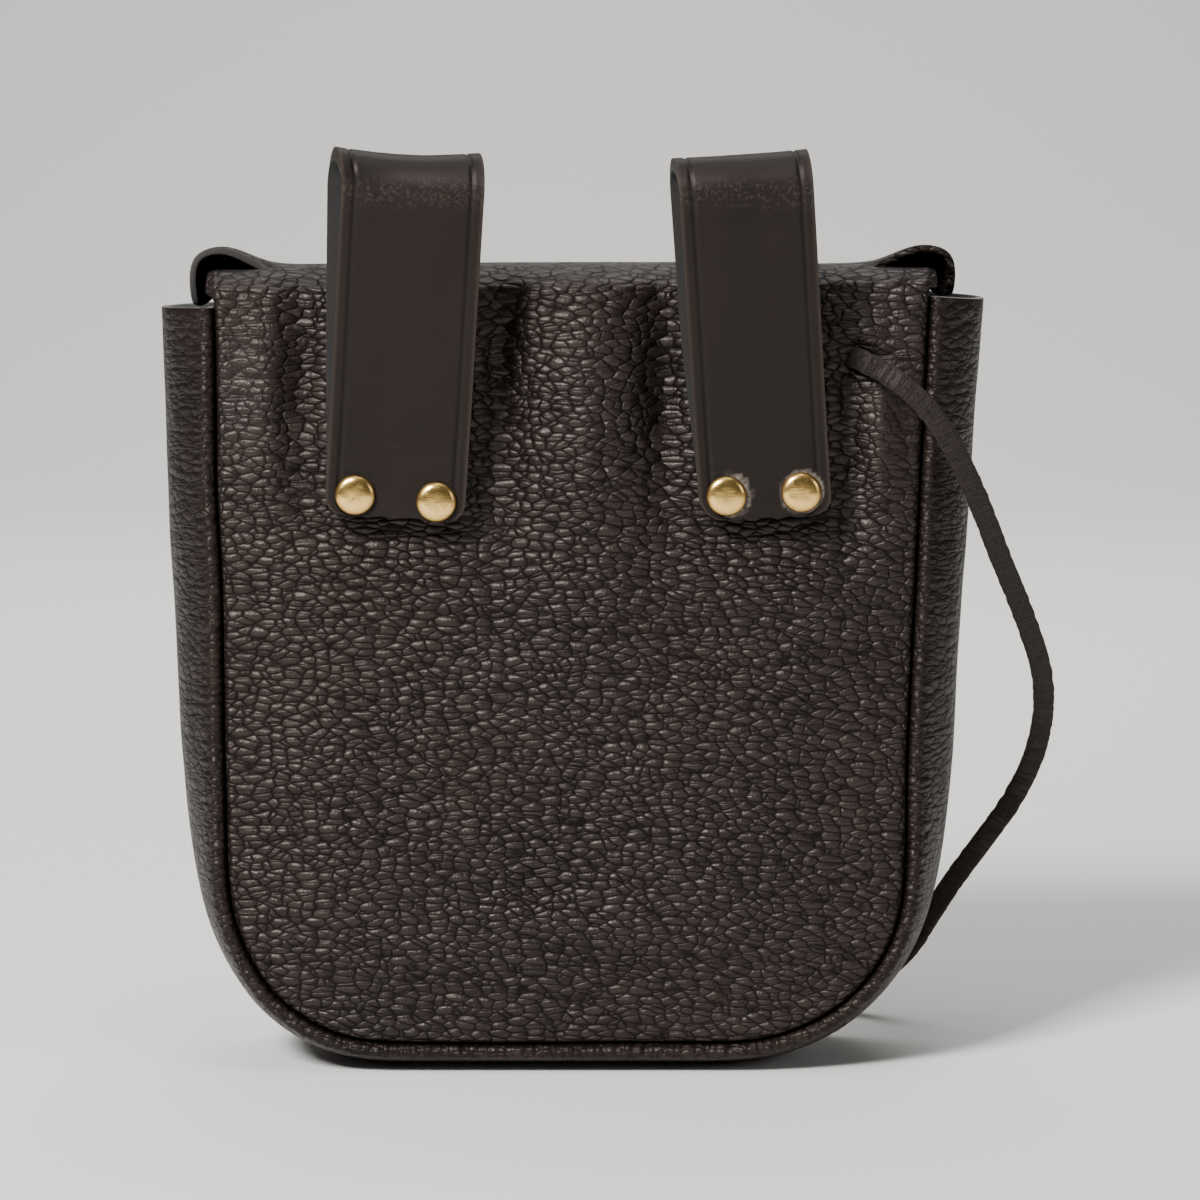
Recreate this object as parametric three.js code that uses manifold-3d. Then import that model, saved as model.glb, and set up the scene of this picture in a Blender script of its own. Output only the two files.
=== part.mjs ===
import * as THREE from 'three';
import { mergeVertices } from 'three/addons/utils/BufferGeometryUtils.js';
import Module from 'manifold-3d';

// A medieval belt pouch of turned leather, seen from its belt side, which faces -Y.
// Millimetres, +Z up. The pouch stands on the floor at z = 0, with its flap on the far side.

// Leather
const panelLeather = 1.6;
const strapLeather = 2.8;
const clearance = 0.3; // between two pieces that lie on each other

// Bag body, measured at the seam lines
const mouthHalfWidth = 78.8;
const seamTop = 173; // mean height of the top of the two side seams
const seamBottom = 6.8; // height of the bottom seam above the floor
const gussetWidth = 46; // the strip between its two rolls, measured over the bulge
const gussetBulge = 10.2; // how far the strip bows out at the mouth
const turnRadius = 1.1; // of the turned edges, at the middle of the leather
const seamAllowance = 6.8; // straight part of each turned edge
const gussetStep = 1.7; // the gusset's cut ends lie this far below the seam's ends
const backPillow = 2.2; // how far the filled back stands out
const frontPillow = 4.6;
const backEdge = 26; // width of the slope from a seam to the full pillow
const frontEdge = 34;
const mouthLean = 2.4; // how far the back leans in at the mouth, between its corners
const leanDepth = 30; // distance below the mouth where that lean starts
const leanEdge = 14; // distance from the seam where it is full
const frontDip = 7; // how far the front's edge sags at its middle
const dipFullness = 0.7; // below 1 the sag has steep ends and a level middle

// Fold over the top, and the flap behind it
const foldRise = 6.6; // from the seam tops to the crest
const flapDrop = 108; // from the seam tops down to the tip of the flap
const flapCorner = 46; // height of the flap's rounded end
const flapClearance = 1.4; // between flap and front
const cornerFullness = 0.97; // how far the flap's corners follow a full round, below 1
const earHeight = 4.8; // how far the flap's corner arches up behind a slit in the fold
const earWidth = 9.2; // from the crown of that arch to its outer wall
const earSpare = 7.3; // how much longer the arch's wall is than the fold is high

// Belt loops
const loopTop = 203.5; // floor to the top of a loop
const loopEnd = 124.6; // floor to the lower ends of the straps
const loopBow = 9; // opening between the two halves of a loop
const bowStart = 10; // the halves lie together this far above the rivets
const strapWidth = 30.6;
const strapCorner = 3; // radius of the strap ends
const strapEdge = 0.5; // bevel along the strap edges

// Rivets
const rivetInset = 4.7; // mean distance of the rivets from the straps' ends
const capRadius = 4.4;
const capHeight = 1.5;
const capRim = 0.5;
const postRadius = 1.6;

// Lace
const laceWidth = 5;
const laceThickness = 2.5;
const laceEdge = 0.6; // bevel along its edges
const knotRadius = 5;

// Left and right sides of the seam. across, up: the rounded lower corner.
// foot: half width where the corner ends. top: height of the side seam's upper end.
const sides = [
  { side: -1, mouth: 1.0, foot: 0.972, across: 0.43, up: 0.236, top: 0.993, curve: 1.1 },
  { side: 1, mouth: 1.0, foot: 0.94, across: 0.5, up: 0.22, top: 1.007, curve: 1.5 },
];

// How far the gusset bows out, by height: up is a share of the seam's height,
// out a share of the bulge at the mouth.
const bulges = [
  { up: 0.0, out: 0.39 },
  { up: 0.06, out: 0.38 },
  { up: 0.12, out: 0.4 },
  { up: 0.18, out: 0.46 },
  { up: 0.25, out: 0.6 },
  { up: 0.34, out: 0.76 },
  { up: 0.55, out: 0.87 },
  { up: 0.8, out: 0.95 },
  { up: 1.0, out: 1.0 },
];

// Swells and hollows of the back. x is a share of the half width, up of the seam's height,
// wide and high their reach as the same shares, out a share of the back's pillow.
const backSwells = [
  { x: -0.78, up: 0.82, wide: 0.2, high: 0.18, out: 0.55 },
  { x: -0.83, up: 0.35, wide: 0.2, high: 0.3, out: 0.35 },
  { x: 0.06, up: 0.74, wide: 0.16, high: 0.22, out: 0.75 },
  { x: 0.8, up: 0.8, wide: 0.16, high: 0.2, out: 0.7 },
  { x: 0.7, up: 0.58, wide: 0.2, high: 0.14, out: 0.45 },
  { x: 0.1, up: 0.5, wide: 0.6, high: 0.1, out: 0.35 },
  { x: -0.66, up: 0.24, wide: 0.22, high: 0.14, out: 0.6 },
  { x: 0.35, up: 0.25, wide: 0.3, high: 0.2, out: 0.4 },
  { x: -0.06, up: 0.17, wide: 0.1, high: 0.06, out: -0.35 },
  { x: -0.22, up: 0.8, wide: 0.07, high: 0.26, out: -0.45 },
  { x: 0.24, up: 0.8, wide: 0.07, high: 0.26, out: -0.45 },
  { x: -0.72, up: 0.62, wide: 0.07, high: 0.2, out: -0.3 },
];
const frontSwells = [
  { x: 0.0, up: 0.32, wide: 0.6, high: 0.3, out: 0.3 },
  { x: 0.45, up: 0.2, wide: 0.25, high: 0.14, out: 0.12 },
  { x: -0.5, up: 0.22, wide: 0.22, high: 0.16, out: 0.15 },
];

// The sheet as it goes over the top. turn: share of the half turn from back to front.
// half: half width without the margins, a share of the mouth's. bend, margin: degrees that
// the margin is turned in, and the share of it that is left. ear: share of the arch. The
// slit runs before the first row with an arch, where the flap comes free of the back.
const foldRows = [
  { turn: 0.1, half: 0.985, bend: 60, margin: 0.5, ear: 0.0 },
  { turn: 0.2, half: 0.99, bend: 35, margin: 0.3, ear: 0.0 },
  { turn: 0.3, half: 0.995, bend: 20, margin: 0.22, ear: 0.0 },
  { turn: 0.33, half: 0.958, bend: 90, margin: 1.0, ear: 1.0 },
  { turn: 0.46, half: 0.958, bend: 80, margin: 1.0, ear: 0.9 },
  { turn: 0.62, half: 0.945, bend: 50, margin: 1.0, ear: 0.35 },
  { turn: 0.8, half: 0.91, bend: 12, margin: 1.0, ear: 0.1 },
  { turn: 1.0, half: 0.875, bend: 0, margin: 1.0, ear: 0.0 },
];

// Section of the arch from its crown to its free edge, as shares of its width and of the
// length of its wall.
const earSteps = [
  { out: 0, down: 0 },
  { out: 0.57, down: 0.03 },
  { out: 0.89, down: 0.18 },
  { out: 1, down: 0.5 },
  { out: 0.98, down: 1 },
];

// The flap on the front: down is a share of its drop, half its half width with the margins,
// a share of the mouth's.
const flapRows = [
  { down: 0.12, half: 0.967 },
  { down: 0.34, half: 0.977 },
  { down: 0.56, half: 0.977 },
  { down: 0.76, half: 0.948 },
  { down: 0.9, half: 0.9 },
  { down: 1.0, half: 0.83 },
];

// Belt loops: middle at the rivets as a share of the mouth's half width, width and sideways
// shift of the far half as shares of the strap's, lean of both halves in degrees.
const loopRows = [
  { name: 'belt_loop_left', middle: -0.4873, wide: 1.0, lean: 3.9, farLean: 0.9, shift: -0.013 },
  { name: 'belt_loop_right', middle: 0.5355, wide: 0.941, lean: -3.9, farLean: -4.2, shift: -0.046 },
];
const loops = loopRows.map(({ name, middle, wide, lean, farLean, shift }) => ({
  name,
  x: middle * mouthHalfWidth,
  width: wide * strapWidth,
  lean,
  farLean,
  farShift: shift * strapWidth,
}));

// Rivets, seen from the belt side: across as a share of their loop's half width, above as a
// share of their inset from its end.
const rivetRows = [
  { name: 'rivet_1', loop: 0, across: -0.575, above: 1.064 },
  { name: 'rivet_2', loop: 0, across: 0.582, above: 0.745 },
  { name: 'rivet_3', loop: 1, across: -0.583, above: 1.021 },
  { name: 'rivet_4', loop: 1, across: 0.549, above: 1.191 },
];
const rivets = rivetRows.map(({ name, loop, across, above }) => ({
  name,
  x: loops[loop].x + across * loops[loop].width / 2,
  z: loopEnd + above * rivetInset,
}));

// The lace, from inside the back at its slit, round the right side and down to the floor
// behind the bag. x, y, z of its middle, y from the middle plane of the gusset.
const laceRoute = [
  [57.4, -13.8, 161.6],
  [60.6, -17.4, 160.0],
  [64.2, -21.3, 158.2],
  [68.0, -24.8, 156.3],
  [72.2, -26.9, 153.4],
  [77.0, -27.4, 149.0],
  [82.3, -25.9, 141.6],
  [87.2, -22.0, 132.6],
  [91.4, -16.2, 123.6],
  [95.4, -9.2, 114.4],
  [99.7, -1.6, 105.2],
  [103.8, 5.0, 95.6],
  [107.0, 10.4, 86.2],
  [108.0, 15.2, 76.0],
  [106.4, 19.6, 65.4],
  [102.0, 23.8, 54.6],
  [96.0, 27.6, 44.8],
  [89.4, 30.8, 34.8],
  [83.4, 33.6, 24.6],
  [78.0, 37.0, 15.0],
  [71.8, 41.0, 7.4],
  [63.6, 45.2, 2.9],
  [54.0, 48.6, 1.5],
  [44.0, 51.0, 1.5],
];
const slitStart = 0; // points of the route between which the lace passes through the back
const slitEnd = 4;

// Mesh steps
const seamSteps = 60; // in each of the three stretches of half a seam
const bowSteps = 7;
const arcSteps = 8;
const knotSides = 12;
const drillSides = 12;
const rowsUp = 15;
const columns = 18;
const restFlat = 0.03; // height up to which the bottom counts as resting
const bendSteps = 3;
const rollSteps = 4;
const wallSteps = 6;
const capSides = 12;
const laceSteps = 24;
const slitSteps = 10;
const tangentReach = 1; // half the length over which the seam's direction is taken
const weldDistance = 1e-4;

const clamp = (t) => Math.min(Math.max(t, 0), 1);
const smooth = (t) => clamp(t) ** 2 * (3 - 2 * clamp(t));
const mix = (a, b, t) => a + (b - a) * t;
const radians = THREE.MathUtils.degToRad;

// Reads a table by one of its columns, with straight lines between its rows.
function readTable(rows, key, at, column) {
  const next = rows.findIndex((row) => row[key] >= at);
  if (next === -1) return rows[rows.length - 1][column];
  if (next === 0) return rows[0][column];
  const low = rows[next - 1];
  const high = rows[next];
  return mix(low[column], high[column], (at - low[key]) / (high[key] - low[key]));
}

const seamHeight = seamTop - seamBottom;
const seamInset = clearance / 2 + panelLeather / 2 + turnRadius; // from the seam to the flat panel
const bendLength = turnRadius * Math.PI / 2;
const marginLength = bendLength + seamAllowance;

// One half of the seam line, from the bottom's middle up to the mouth, as many short steps.
function seamHalf({ side, mouth, foot, across, up, top, curve }) {
  const footHalf = mouthHalfWidth * foot;
  const cornerWide = mouthHalfWidth * across;
  const cornerHigh = seamHeight * up;
  const cornerTop = seamBottom + cornerHigh;
  const topHeight = seamTop * top;
  const points = [];
  for (let i = 0; i < seamSteps; i++) {
    points.push(new THREE.Vector2(side * (footHalf - cornerWide) * (i / seamSteps), seamBottom));
  }
  for (let i = 0; i < seamSteps; i++) {
    const angle = (i / seamSteps) * Math.PI / 2;
    const x = footHalf - cornerWide + cornerWide * Math.sin(angle);
    points.push(new THREE.Vector2(side * x, cornerTop - cornerHigh * Math.cos(angle)));
  }
  for (let i = 0; i <= seamSteps; i++) {
    const rise = i / seamSteps;
    const x = mix(footHalf, mouthHalfWidth * mouth, rise ** curve);
    points.push(new THREE.Vector2(side * x, mix(cornerTop, topHeight, rise)));
  }
  return points;
}

// The length walked at each point of a line of short steps.
function lengthsAlong(points) {
  const lengths = [0];
  for (let i = 1; i < points.length; i++) {
    lengths.push(lengths[i - 1] + points[i].distanceTo(points[i - 1]));
  }
  return lengths;
}

function pointAtLength(points, lengths, at) {
  const next = Math.max(1, lengths.findIndex((length) => length >= at - 1e-9));
  const t = (at - lengths[next - 1]) / (lengths[next] - lengths[next - 1]);
  return points[next - 1].clone().lerp(points[next], t);
}

const halves = sides.map(seamHalf);
const seamLine = [...halves[0].slice(1).reverse(), ...halves[1]];

// Stations along the seam: down the left side, along the bottom and up the right side.
// The middle of each rounded corner is a station, where the panel's grid has its corner.
function makeStations() {
  const lengths = lengthsAlong(seamLine);
  const cornerAt = [];
  halves.forEach((half, i) => {
    const along = lengthsAlong(half);
    const corner = (along[seamSteps] + along[2 * seamSteps]) / 2;
    const leftLength = lengthsAlong(halves[0]).at(-1);
    cornerAt.push(i === 0 ? leftLength - corner : leftLength + corner);
  });
  const stops = [];
  for (let i = 0; i < rowsUp; i++) stops.push(mix(0, cornerAt[0], i / rowsUp));
  for (let i = 0; i < columns; i++) stops.push(mix(cornerAt[0], cornerAt[1], i / columns));
  for (let i = 0; i <= rowsUp; i++) stops.push(mix(cornerAt[1], lengths.at(-1), i / rowsUp));
  return stops.map((at) => {
    const point = pointAtLength(seamLine, lengths, at);
    const before = pointAtLength(seamLine, lengths, Math.max(at - tangentReach, 0));
    const after = pointAtLength(seamLine, lengths, Math.min(at + tangentReach, lengths.at(-1)));
    const along = after.sub(before).normalize();
    const out = new THREE.Vector2(along.y, -along.x);
    return { point, out, up: (point.y - seamBottom) / seamHeight };
  });
}

const stations = makeStations();

// The gusset's bow at a height, and the half depth of the bag that its width leaves there.
// A shallow arc of bow b over the half chord c is about 2c + 4b²/3c long, which gives c.
function gussetShape(up) {
  const bow = gussetBulge * readTable(bulges, 'up', clamp(up), 'out');
  const spare = Math.sqrt(gussetWidth ** 2 - (32 / 3) * bow ** 2);
  const halfChord = (gussetWidth + spare) / 4;
  const angle = 2 * Math.atan(bow / halfChord);
  const rollReach = turnRadius + panelLeather / 2;
  const halfDepth = halfChord + rollReach - turnRadius * Math.sin(angle);
  return { bow, halfChord, angle, halfDepth };
}

const halfDepthAt = (z) => gussetShape((z - seamBottom) / seamHeight).halfDepth;

// Distance from a point of a panel to the seam, with the open mouth left out.
function seamDistance(x, z) {
  const here = new THREE.Vector2(x, z);
  return Math.min(...seamLine.map((point) => point.distanceTo(here)));
}

function swellSum(rows, x, z) {
  const across = x / mouthHalfWidth;
  const up = (z - seamBottom) / seamHeight;
  const one = (row) => {
    const beside = (across - row.x) / row.wide;
    const above = (up - row.up) / row.high;
    return row.out * Math.exp(-(beside ** 2) - above ** 2);
  };
  return rows.reduce((sum, row) => sum + one(row), 0);
}

// How far the back stands out from the plane of its seams. Under a loop it lies flat.
const seatOut = backPillow * 0.5;
const seatEdge = 8;
const seatMargin = 6; // how far the flat seat goes on below the straps
const frontFill = 0.75; // share of its pillow that the front has outside its swells

function backRelief(x, z) {
  const inside = seamDistance(x, z) - seamInset;
  const fade = smooth(inside / backEdge);
  const lean = mouthLean * smooth((z - (seamTop - leanDepth)) / leanDepth) * smooth(inside / leanEdge);
  const free = backPillow * (1 + swellSum(backSwells, x, z)) * fade - lean;
  const seats = loops.map((loop) => {
    const beside = Math.abs(x - loop.x - loopLean(loop, z)) - loop.width / 2;
    return (1 - smooth(beside / seatEdge)) * smooth((z - loopEnd + seatMargin) / seatEdge + 1);
  });
  return mix(free, seatOut * fade - lean, Math.max(...seats));
}

function frontRelief(x, z) {
  const fade = smooth((seamDistance(x, z) - seamInset) / frontEdge);
  return frontPillow * (frontFill + swellSum(frontSwells, x, z)) * fade;
}

const loopLean = (loop, z) => Math.tan(radians(loop.lean)) * Math.max(z - rivetLine, 0) * 0.5;
const rivetLine = rivets.reduce((sum, rivet) => sum + rivet.z, 0) / rivets.length;

// Faces of the two panels, measured from the middle plane of the gusset.
const backFace = (x, z) => -halfDepthAt(z) - backRelief(x, z);
const frontFace = (x, z) => halfDepthAt(z) + frontRelief(x, z);

// A closed solid from the middle surface of a sheet: both skins and the cut edges.
function sheetSolid(points, faces, thickness) {
  const normals = points.map(() => new THREE.Vector3());
  for (const [a, b, c, d] of faces) {
    const across = points[c].clone().sub(points[a]);
    const normal = across.cross(points[d].clone().sub(points[b])).normalize();
    for (const i of [a, b, c, d]) normals[i].add(normal);
  }
  normals.forEach((normal) => normal.normalize());
  const count = points.length;
  const skins = [1, -1].flatMap((side) =>
    points.map((point, i) => point.clone().addScaledVector(normals[i], side * thickness / 2)));
  const triangles = [];
  const edges = new Map();
  for (const face of faces) {
    const [a, b, c, d] = face;
    const shortFirst = points[a].distanceTo(points[c]) <= points[b].distanceTo(points[d]);
    const halvesOfFace = shortFirst ? [[a, b, c], [a, c, d]] : [[a, b, d], [b, c, d]];
    for (const [p, q, r] of halvesOfFace) {
      triangles.push([p, q, r], [r + count, q + count, p + count]);
    }
    face.forEach((from, i) => {
      const to = face[(i + 1) % 4];
      edges.set(`${from} ${to}`, [from, to]);
    });
  }
  for (const [from, to] of edges.values()) {
    if (edges.has(`${to} ${from}`)) continue;
    triangles.push([to, from, from + count], [to, from + count, to + count]);
  }
  return meshGeometry(skins, triangles);
}

function meshGeometry(points, triangles) {
  const geometry = new THREE.BufferGeometry();
  const numbers = points.flatMap((point) => point.toArray());
  geometry.setAttribute('position', new THREE.Float32BufferAttribute(numbers, 3));
  geometry.setIndex(triangles.flat());
  return geometry;
}

// The seam edge of a panel in section: how far out from the flat part and how deep inside,
// for a step of the turned edge, when the edge is turned in by the given angle.
const marginSteps = [];
for (let i = 1; i <= bendSteps; i++) marginSteps.push(bendLength * i / bendSteps);
marginSteps.push(marginLength);

function turnedEdge(length, angle) {
  const turned = Math.min(length / turnRadius, angle);
  const straight = length - turnRadius * turned;
  return {
    out: turnRadius * Math.sin(turned) + straight * Math.cos(angle),
    inward: turnRadius * (1 - Math.cos(turned)) + straight * Math.sin(angle),
  };
}

// The flat part of a panel: a grid stretched between the two sides, the bottom and the mouth.
function panelGrid(dip) {
  const inset = stations.map(({ point, out }) => point.clone().addScaledVector(out, -seamInset));
  const left = inset.slice(0, rowsUp + 1).reverse();
  const bottom = inset.slice(rowsUp, rowsUp + columns + 1);
  const right = inset.slice(rowsUp + columns);
  const across = (row, a) => left[row].clone().lerp(right[row], a);
  const grid = [];
  for (let j = 0; j <= rowsUp; j++) {
    const b = j / rowsUp;
    for (let i = 0; i <= columns; i++) {
      const a = i / columns;
      const along = across(j, a);
      const topPoint = across(rowsUp, a);
      topPoint.y -= dip * Math.sin(Math.PI * a) ** dipFullness;
      const upward = bottom[i].clone().lerp(topPoint, b);
      const flat = across(0, a).lerp(across(rowsUp, a), b);
      grid.push(along.add(upward).sub(flat));
    }
  }
  return grid;
}

// A panel with its turned edges. side is -1 for the back and 1 for the front.
function panelSheet(side, relief, dip) {
  const points = [];
  const faces = [];
  const width = columns + 1;
  const cell = (i, j) => j * width + i;
  for (const { x, y: z } of panelGrid(dip)) {
    points.push(new THREE.Vector3(x, side * (halfDepthAt(z) + relief(x, z) - panelLeather / 2), z));
  }
  for (let j = 0; j < rowsUp; j++) {
    for (let i = 0; i < columns; i++) {
      faces.push([cell(i, j), cell(i + 1, j), cell(i + 1, j + 1), cell(i, j + 1)]);
    }
  }
  const rim = stations.map((station, s) => {
    if (s <= rowsUp) return cell(0, rowsUp - s);
    if (s <= rowsUp + columns) return cell(s - rowsUp, 0);
    return cell(columns, s - rowsUp - columns);
  });
  const turned = stations.map((station, s) => [rim[s], ...marginSteps.map((length) => {
    const { out, inward } = turnedEdge(length, Math.PI / 2);
    const at = station.point.clone().addScaledVector(station.out, out - seamInset);
    const depth = side * (gussetShape(station.up).halfDepth - panelLeather / 2 - inward);
    return points.push(new THREE.Vector3(at.x, depth, at.y)) - 1;
  })]);
  for (let s = 0; s + 1 < stations.length; s++) {
    for (let k = 0; k < marginSteps.length; k++) {
      faces.push([turned[s][k + 1], turned[s + 1][k + 1], turned[s + 1][k], turned[s][k]]);
    }
  }
  const topRow = [
    ...turned[0].slice(1).reverse(),
    ...Array.from({ length: width }, (_, i) => cell(i, rowsUp)),
    ...turned.at(-1).slice(1),
  ];
  return { points, faces, topRow };
}

// The back goes on over the top and down the front as the flap: one sheet of leather.
// At each end of the fold a slit frees the flap, whose corner arches up behind it.
function backSheet() {
  const { points, faces, topRow } = panelSheet(-1, backRelief, 0);
  const margins = marginSteps.length;
  const addRow = (make) => topRow.map((_, m) => {
    const column = clamp((m - margins) / columns) * 2 - 1;
    const past = Math.max(margins - m, m - margins - columns, 0);
    return points.push(make(column, past)) - 1;
  });
  const marginAt = (past) => (past > 0 ? marginSteps[past - 1] : 0);
  const seamTops = [-1, 1].map((side, i) => seamTop * sides[i].top);
  const rows = [topRow];
  const crest = foldRise - panelLeather / 2;
  for (const row of foldRows) {
    rows.push(addRow((column, past) => {
      const half = mouthHalfWidth * row.half;
      const base = mix(seamTops[0], seamTops[1], (column + 1) / 2);
      const start = backFace(column * half, base) + panelLeather / 2;
      const end = frontFace(column * half, base) + flapClearance + panelLeather / 2;
      const angle = row.turn * Math.PI;
      const rise = seamTop + crest - base;
      const edge = turnedEdge(marginAt(past) * row.margin, radians(row.bend));
      const out = mix(edge.out, earWidth * earSteps[past].out, row.ear);
      const inward = mix(edge.inward, (rise + earSpare) * earSteps[past].down, row.ear);
      const x = Math.sign(column) * out + column * half;
      const arch = clamp(1 - (1 - Math.abs(column)) * columns / 2);
      const y = mix(start, end, (1 - Math.cos(angle)) / 2) + inward * Math.cos(angle);
      const z = base + (rise - inward) * Math.sin(angle) + earHeight * row.ear * arch;
      return new THREE.Vector3(x, y, z);
    }));
  }
  for (const row of flapRows) {
    rows.push(addRow((column, past) => {
      const half = mouthHalfWidth * row.half;
      const x = Math.sign(column) * marginAt(past) + column * (half - marginLength);
      const share = Math.min(Math.abs(x) / half, 1);
      const tip = seamTop - flapDrop + flapCorner * (1 - Math.sqrt(1 - cornerFullness * share ** 3));
      const z = mix(seamTop, tip, row.down);
      const y = frontFace(Math.sign(x) * Math.min(Math.abs(x), mouthHalfWidth), z);
      return new THREE.Vector3(x, y + flapClearance + panelLeather / 2, z);
    }));
  }
  const slitRow = foldRows.findIndex((row) => row.ear > 0);
  for (let r = 0; r + 1 < rows.length; r++) {
    for (let m = 0; m + 1 < topRow.length; m++) {
      const inSlit = m <= margins || m >= margins + columns - 1;
      if (r === slitRow && inSlit) continue;
      faces.push([rows[r][m], rows[r][m + 1], rows[r + 1][m + 1], rows[r + 1][m]]);
    }
  }
  return sheetSolid(points, faces, panelLeather);
}

function frontSheet() {
  const { points, faces } = panelSheet(1, frontRelief, frontDip);
  return sheetSolid(points, faces.map((face) => [...face].reverse()), panelLeather);
}

// The gusset's middle line in section, from one turned edge over its roll, the bowed wall
// and the other roll to the other turned edge. Each step is [out, depth].
function gussetSection(up) {
  const { bow, halfChord, angle, halfDepth } = gussetShape(up);
  const legOut = clearance / 2 + panelLeather / 2;
  const legTop = halfDepth - turnRadius - panelLeather / 2;
  const roll = [[legOut, legTop - seamAllowance]];
  for (let i = 0; i <= rollSteps; i++) {
    const turn = (Math.PI - angle) * i / rollSteps;
    roll.push([legOut + turnRadius * (1 - Math.cos(turn)), legTop + turnRadius * Math.sin(turn)]);
  }
  const wallRadius = halfChord / Math.sin(angle);
  const wallStart = roll.at(-1)[0];
  const wall = [];
  for (let i = 1; i < wallSteps; i++) {
    const turn = mix(angle, -angle, i / wallSteps);
    wall.push([wallStart + bow - wallRadius * (1 - Math.cos(turn)), wallRadius * Math.sin(turn)]);
  }
  const mirrored = roll.map(([out, depth]) => [out, -depth]).reverse();
  return [...roll, ...wall, ...mirrored];
}

function gussetSheet() {
  const points = [];
  const faces = [];
  let width = 0;
  const last = stations.length - 1;
  for (const [s, { point, out, up }] of stations.entries()) {
    const section = gussetSection(up);
    width = section.length;
    for (const [reach, depth] of section) {
      const at = point.clone().addScaledVector(out, reach);
      if (s === 0 || s === last) at.y -= gussetStep;
      points.push(new THREE.Vector3(at.x, -depth, Math.max(at.y, panelLeather / 2)));
    }
  }
  for (let s = 0; s + 1 < stations.length; s++) {
    for (let k = 0; k + 1 < width; k++) {
      const here = s * width + k;
      faces.push([here + 1, here, here + width, here + width + 1]);
    }
  }
  return pressedFlat(sheetSolid(points, faces, panelLeather));
}

// The bottom is pressed flat where it rests, so its lowest points lie exactly on the floor.
function pressedFlat(geometry) {
  const position = geometry.attributes.position;
  for (let i = 0; i < position.count; i++) {
    if (position.getZ(i) < restFlat) position.setZ(i, 0);
  }
  return geometry;
}

// A bar swept along stations, each with its middle, two axes and its half width.
function sweptBar(stops, thickness, edge) {
  const points = [];
  const triangles = [];
  const count = 8;
  for (const { at, across, out, half } of stops) {
    const t = thickness / 2;
    const corners = [
      [half, t - edge], [half - edge, t], [edge - half, t], [-half, t - edge],
      [-half, edge - t], [edge - half, -t], [half - edge, -t], [half, edge - t],
    ];
    for (const [a, b] of corners) {
      points.push(at.clone().addScaledVector(across, a).addScaledVector(out, b));
    }
  }
  for (let s = 0; s + 1 < stops.length; s++) {
    for (let k = 0; k < count; k++) {
      const a = s * count + k;
      const b = s * count + (k + 1) % count;
      triangles.push([b, a, b + count], [b + count, a, a + count]);
    }
  }
  const last = (stops.length - 1) * count;
  for (let k = 1; k + 1 < count; k++) {
    triangles.push([0, k, k + 1], [last, last + k + 1, last + k]);
  }
  return meshGeometry(points, triangles);
}

// Places in depth of the two halves of a loop where they are riveted.
const seatPlane = -halfDepthAt(loopEnd) - seatOut;
const farPlane = seatPlane - clearance - strapLeather / 2;
const nearPlane = farPlane - strapLeather - clearance;
const bowPlane = farPlane - strapLeather - loopBow;
const shiftReach = 40; // height above the rivets where the far half's shift is full

// A loop: up the near half, over the top and down the far half to the rivets again.
function loopSolid(loop) {
  const arcRadius = (farPlane - bowPlane) / 2;
  const arcHeight = loopTop - strapLeather / 2 - arcRadius;
  const straightTop = rivetLine + bowStart;
  const line = [];
  for (const z of [loopEnd, loopEnd + 1, loopEnd + strapCorner, rivetLine, straightTop]) {
    line.push({ y: nearPlane, z, far: 0, lean: loop.lean });
  }
  for (let i = 1; i <= bowSteps; i++) {
    const share = i / bowSteps;
    const z = mix(straightTop, arcHeight, share);
    line.push({ y: mix(nearPlane, bowPlane, smooth(share)), z, far: 0, lean: loop.lean });
  }
  for (let i = 1; i < arcSteps; i++) {
    const share = i / arcSteps;
    const angle = Math.PI * share;
    const y = (farPlane + bowPlane) / 2 - arcRadius * Math.cos(angle);
    const z = arcHeight + arcRadius * Math.sin(angle);
    line.push({ y, z, far: smooth(share), lean: mix(loop.lean, loop.farLean, smooth(share)) });
  }
  for (const z of [arcHeight, mix(arcHeight, straightTop, 0.5), straightTop, rivetLine]) {
    line.push({ y: farPlane, z, far: 1, lean: loop.farLean });
  }
  for (const z of [loopEnd + strapCorner, loopEnd + 1, loopEnd]) {
    line.push({ y: farPlane, z, far: 1, lean: loop.farLean });
  }
  const middle = ({ y, z, far, lean }) => {
    const above = z - rivetLine;
    const shift = far * loop.farShift * smooth(above / shiftReach);
    return new THREE.Vector3(loop.x + Math.tan(radians(lean)) * above + shift, y, z);
  };
  const stops = line.map((stop, i) => {
    const at = middle(stop);
    const before = middle(line[Math.max(i - 1, 0)]);
    const after = middle(line[Math.min(i + 1, line.length - 1)]);
    const along = after.sub(before).normalize();
    const lean = radians(stop.lean);
    const across = new THREE.Vector3(Math.cos(lean), 0, -Math.sin(lean));
    const out = new THREE.Vector3().crossVectors(across, along).normalize();
    across.crossVectors(along, out);
    const fromEnd = Math.min(i, line.length - 1 - i);
    const cut = [strapCorner, strapCorner * 0.25, 0][Math.min(fromEnd, 2)];
    return { at, across, out, half: loop.width / 2 - cut };
  });
  return sweptBar(stops, strapLeather, strapEdge);
}

// Rivet caps from the middle to the rim: across is a share of the cap's radius, high of its
// height.
const domeRows = [
  { across: 0, high: 1 },
  { across: 0.45, high: 0.93 },
  { across: 0.78, high: 0.68 },
];
const innerRows = [
  { across: 0.5, high: 0.6 },
  { across: 0, high: 0.7 },
];
const innerCap = 0.9; // radius of the inner cap, a share of the outer one's

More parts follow.
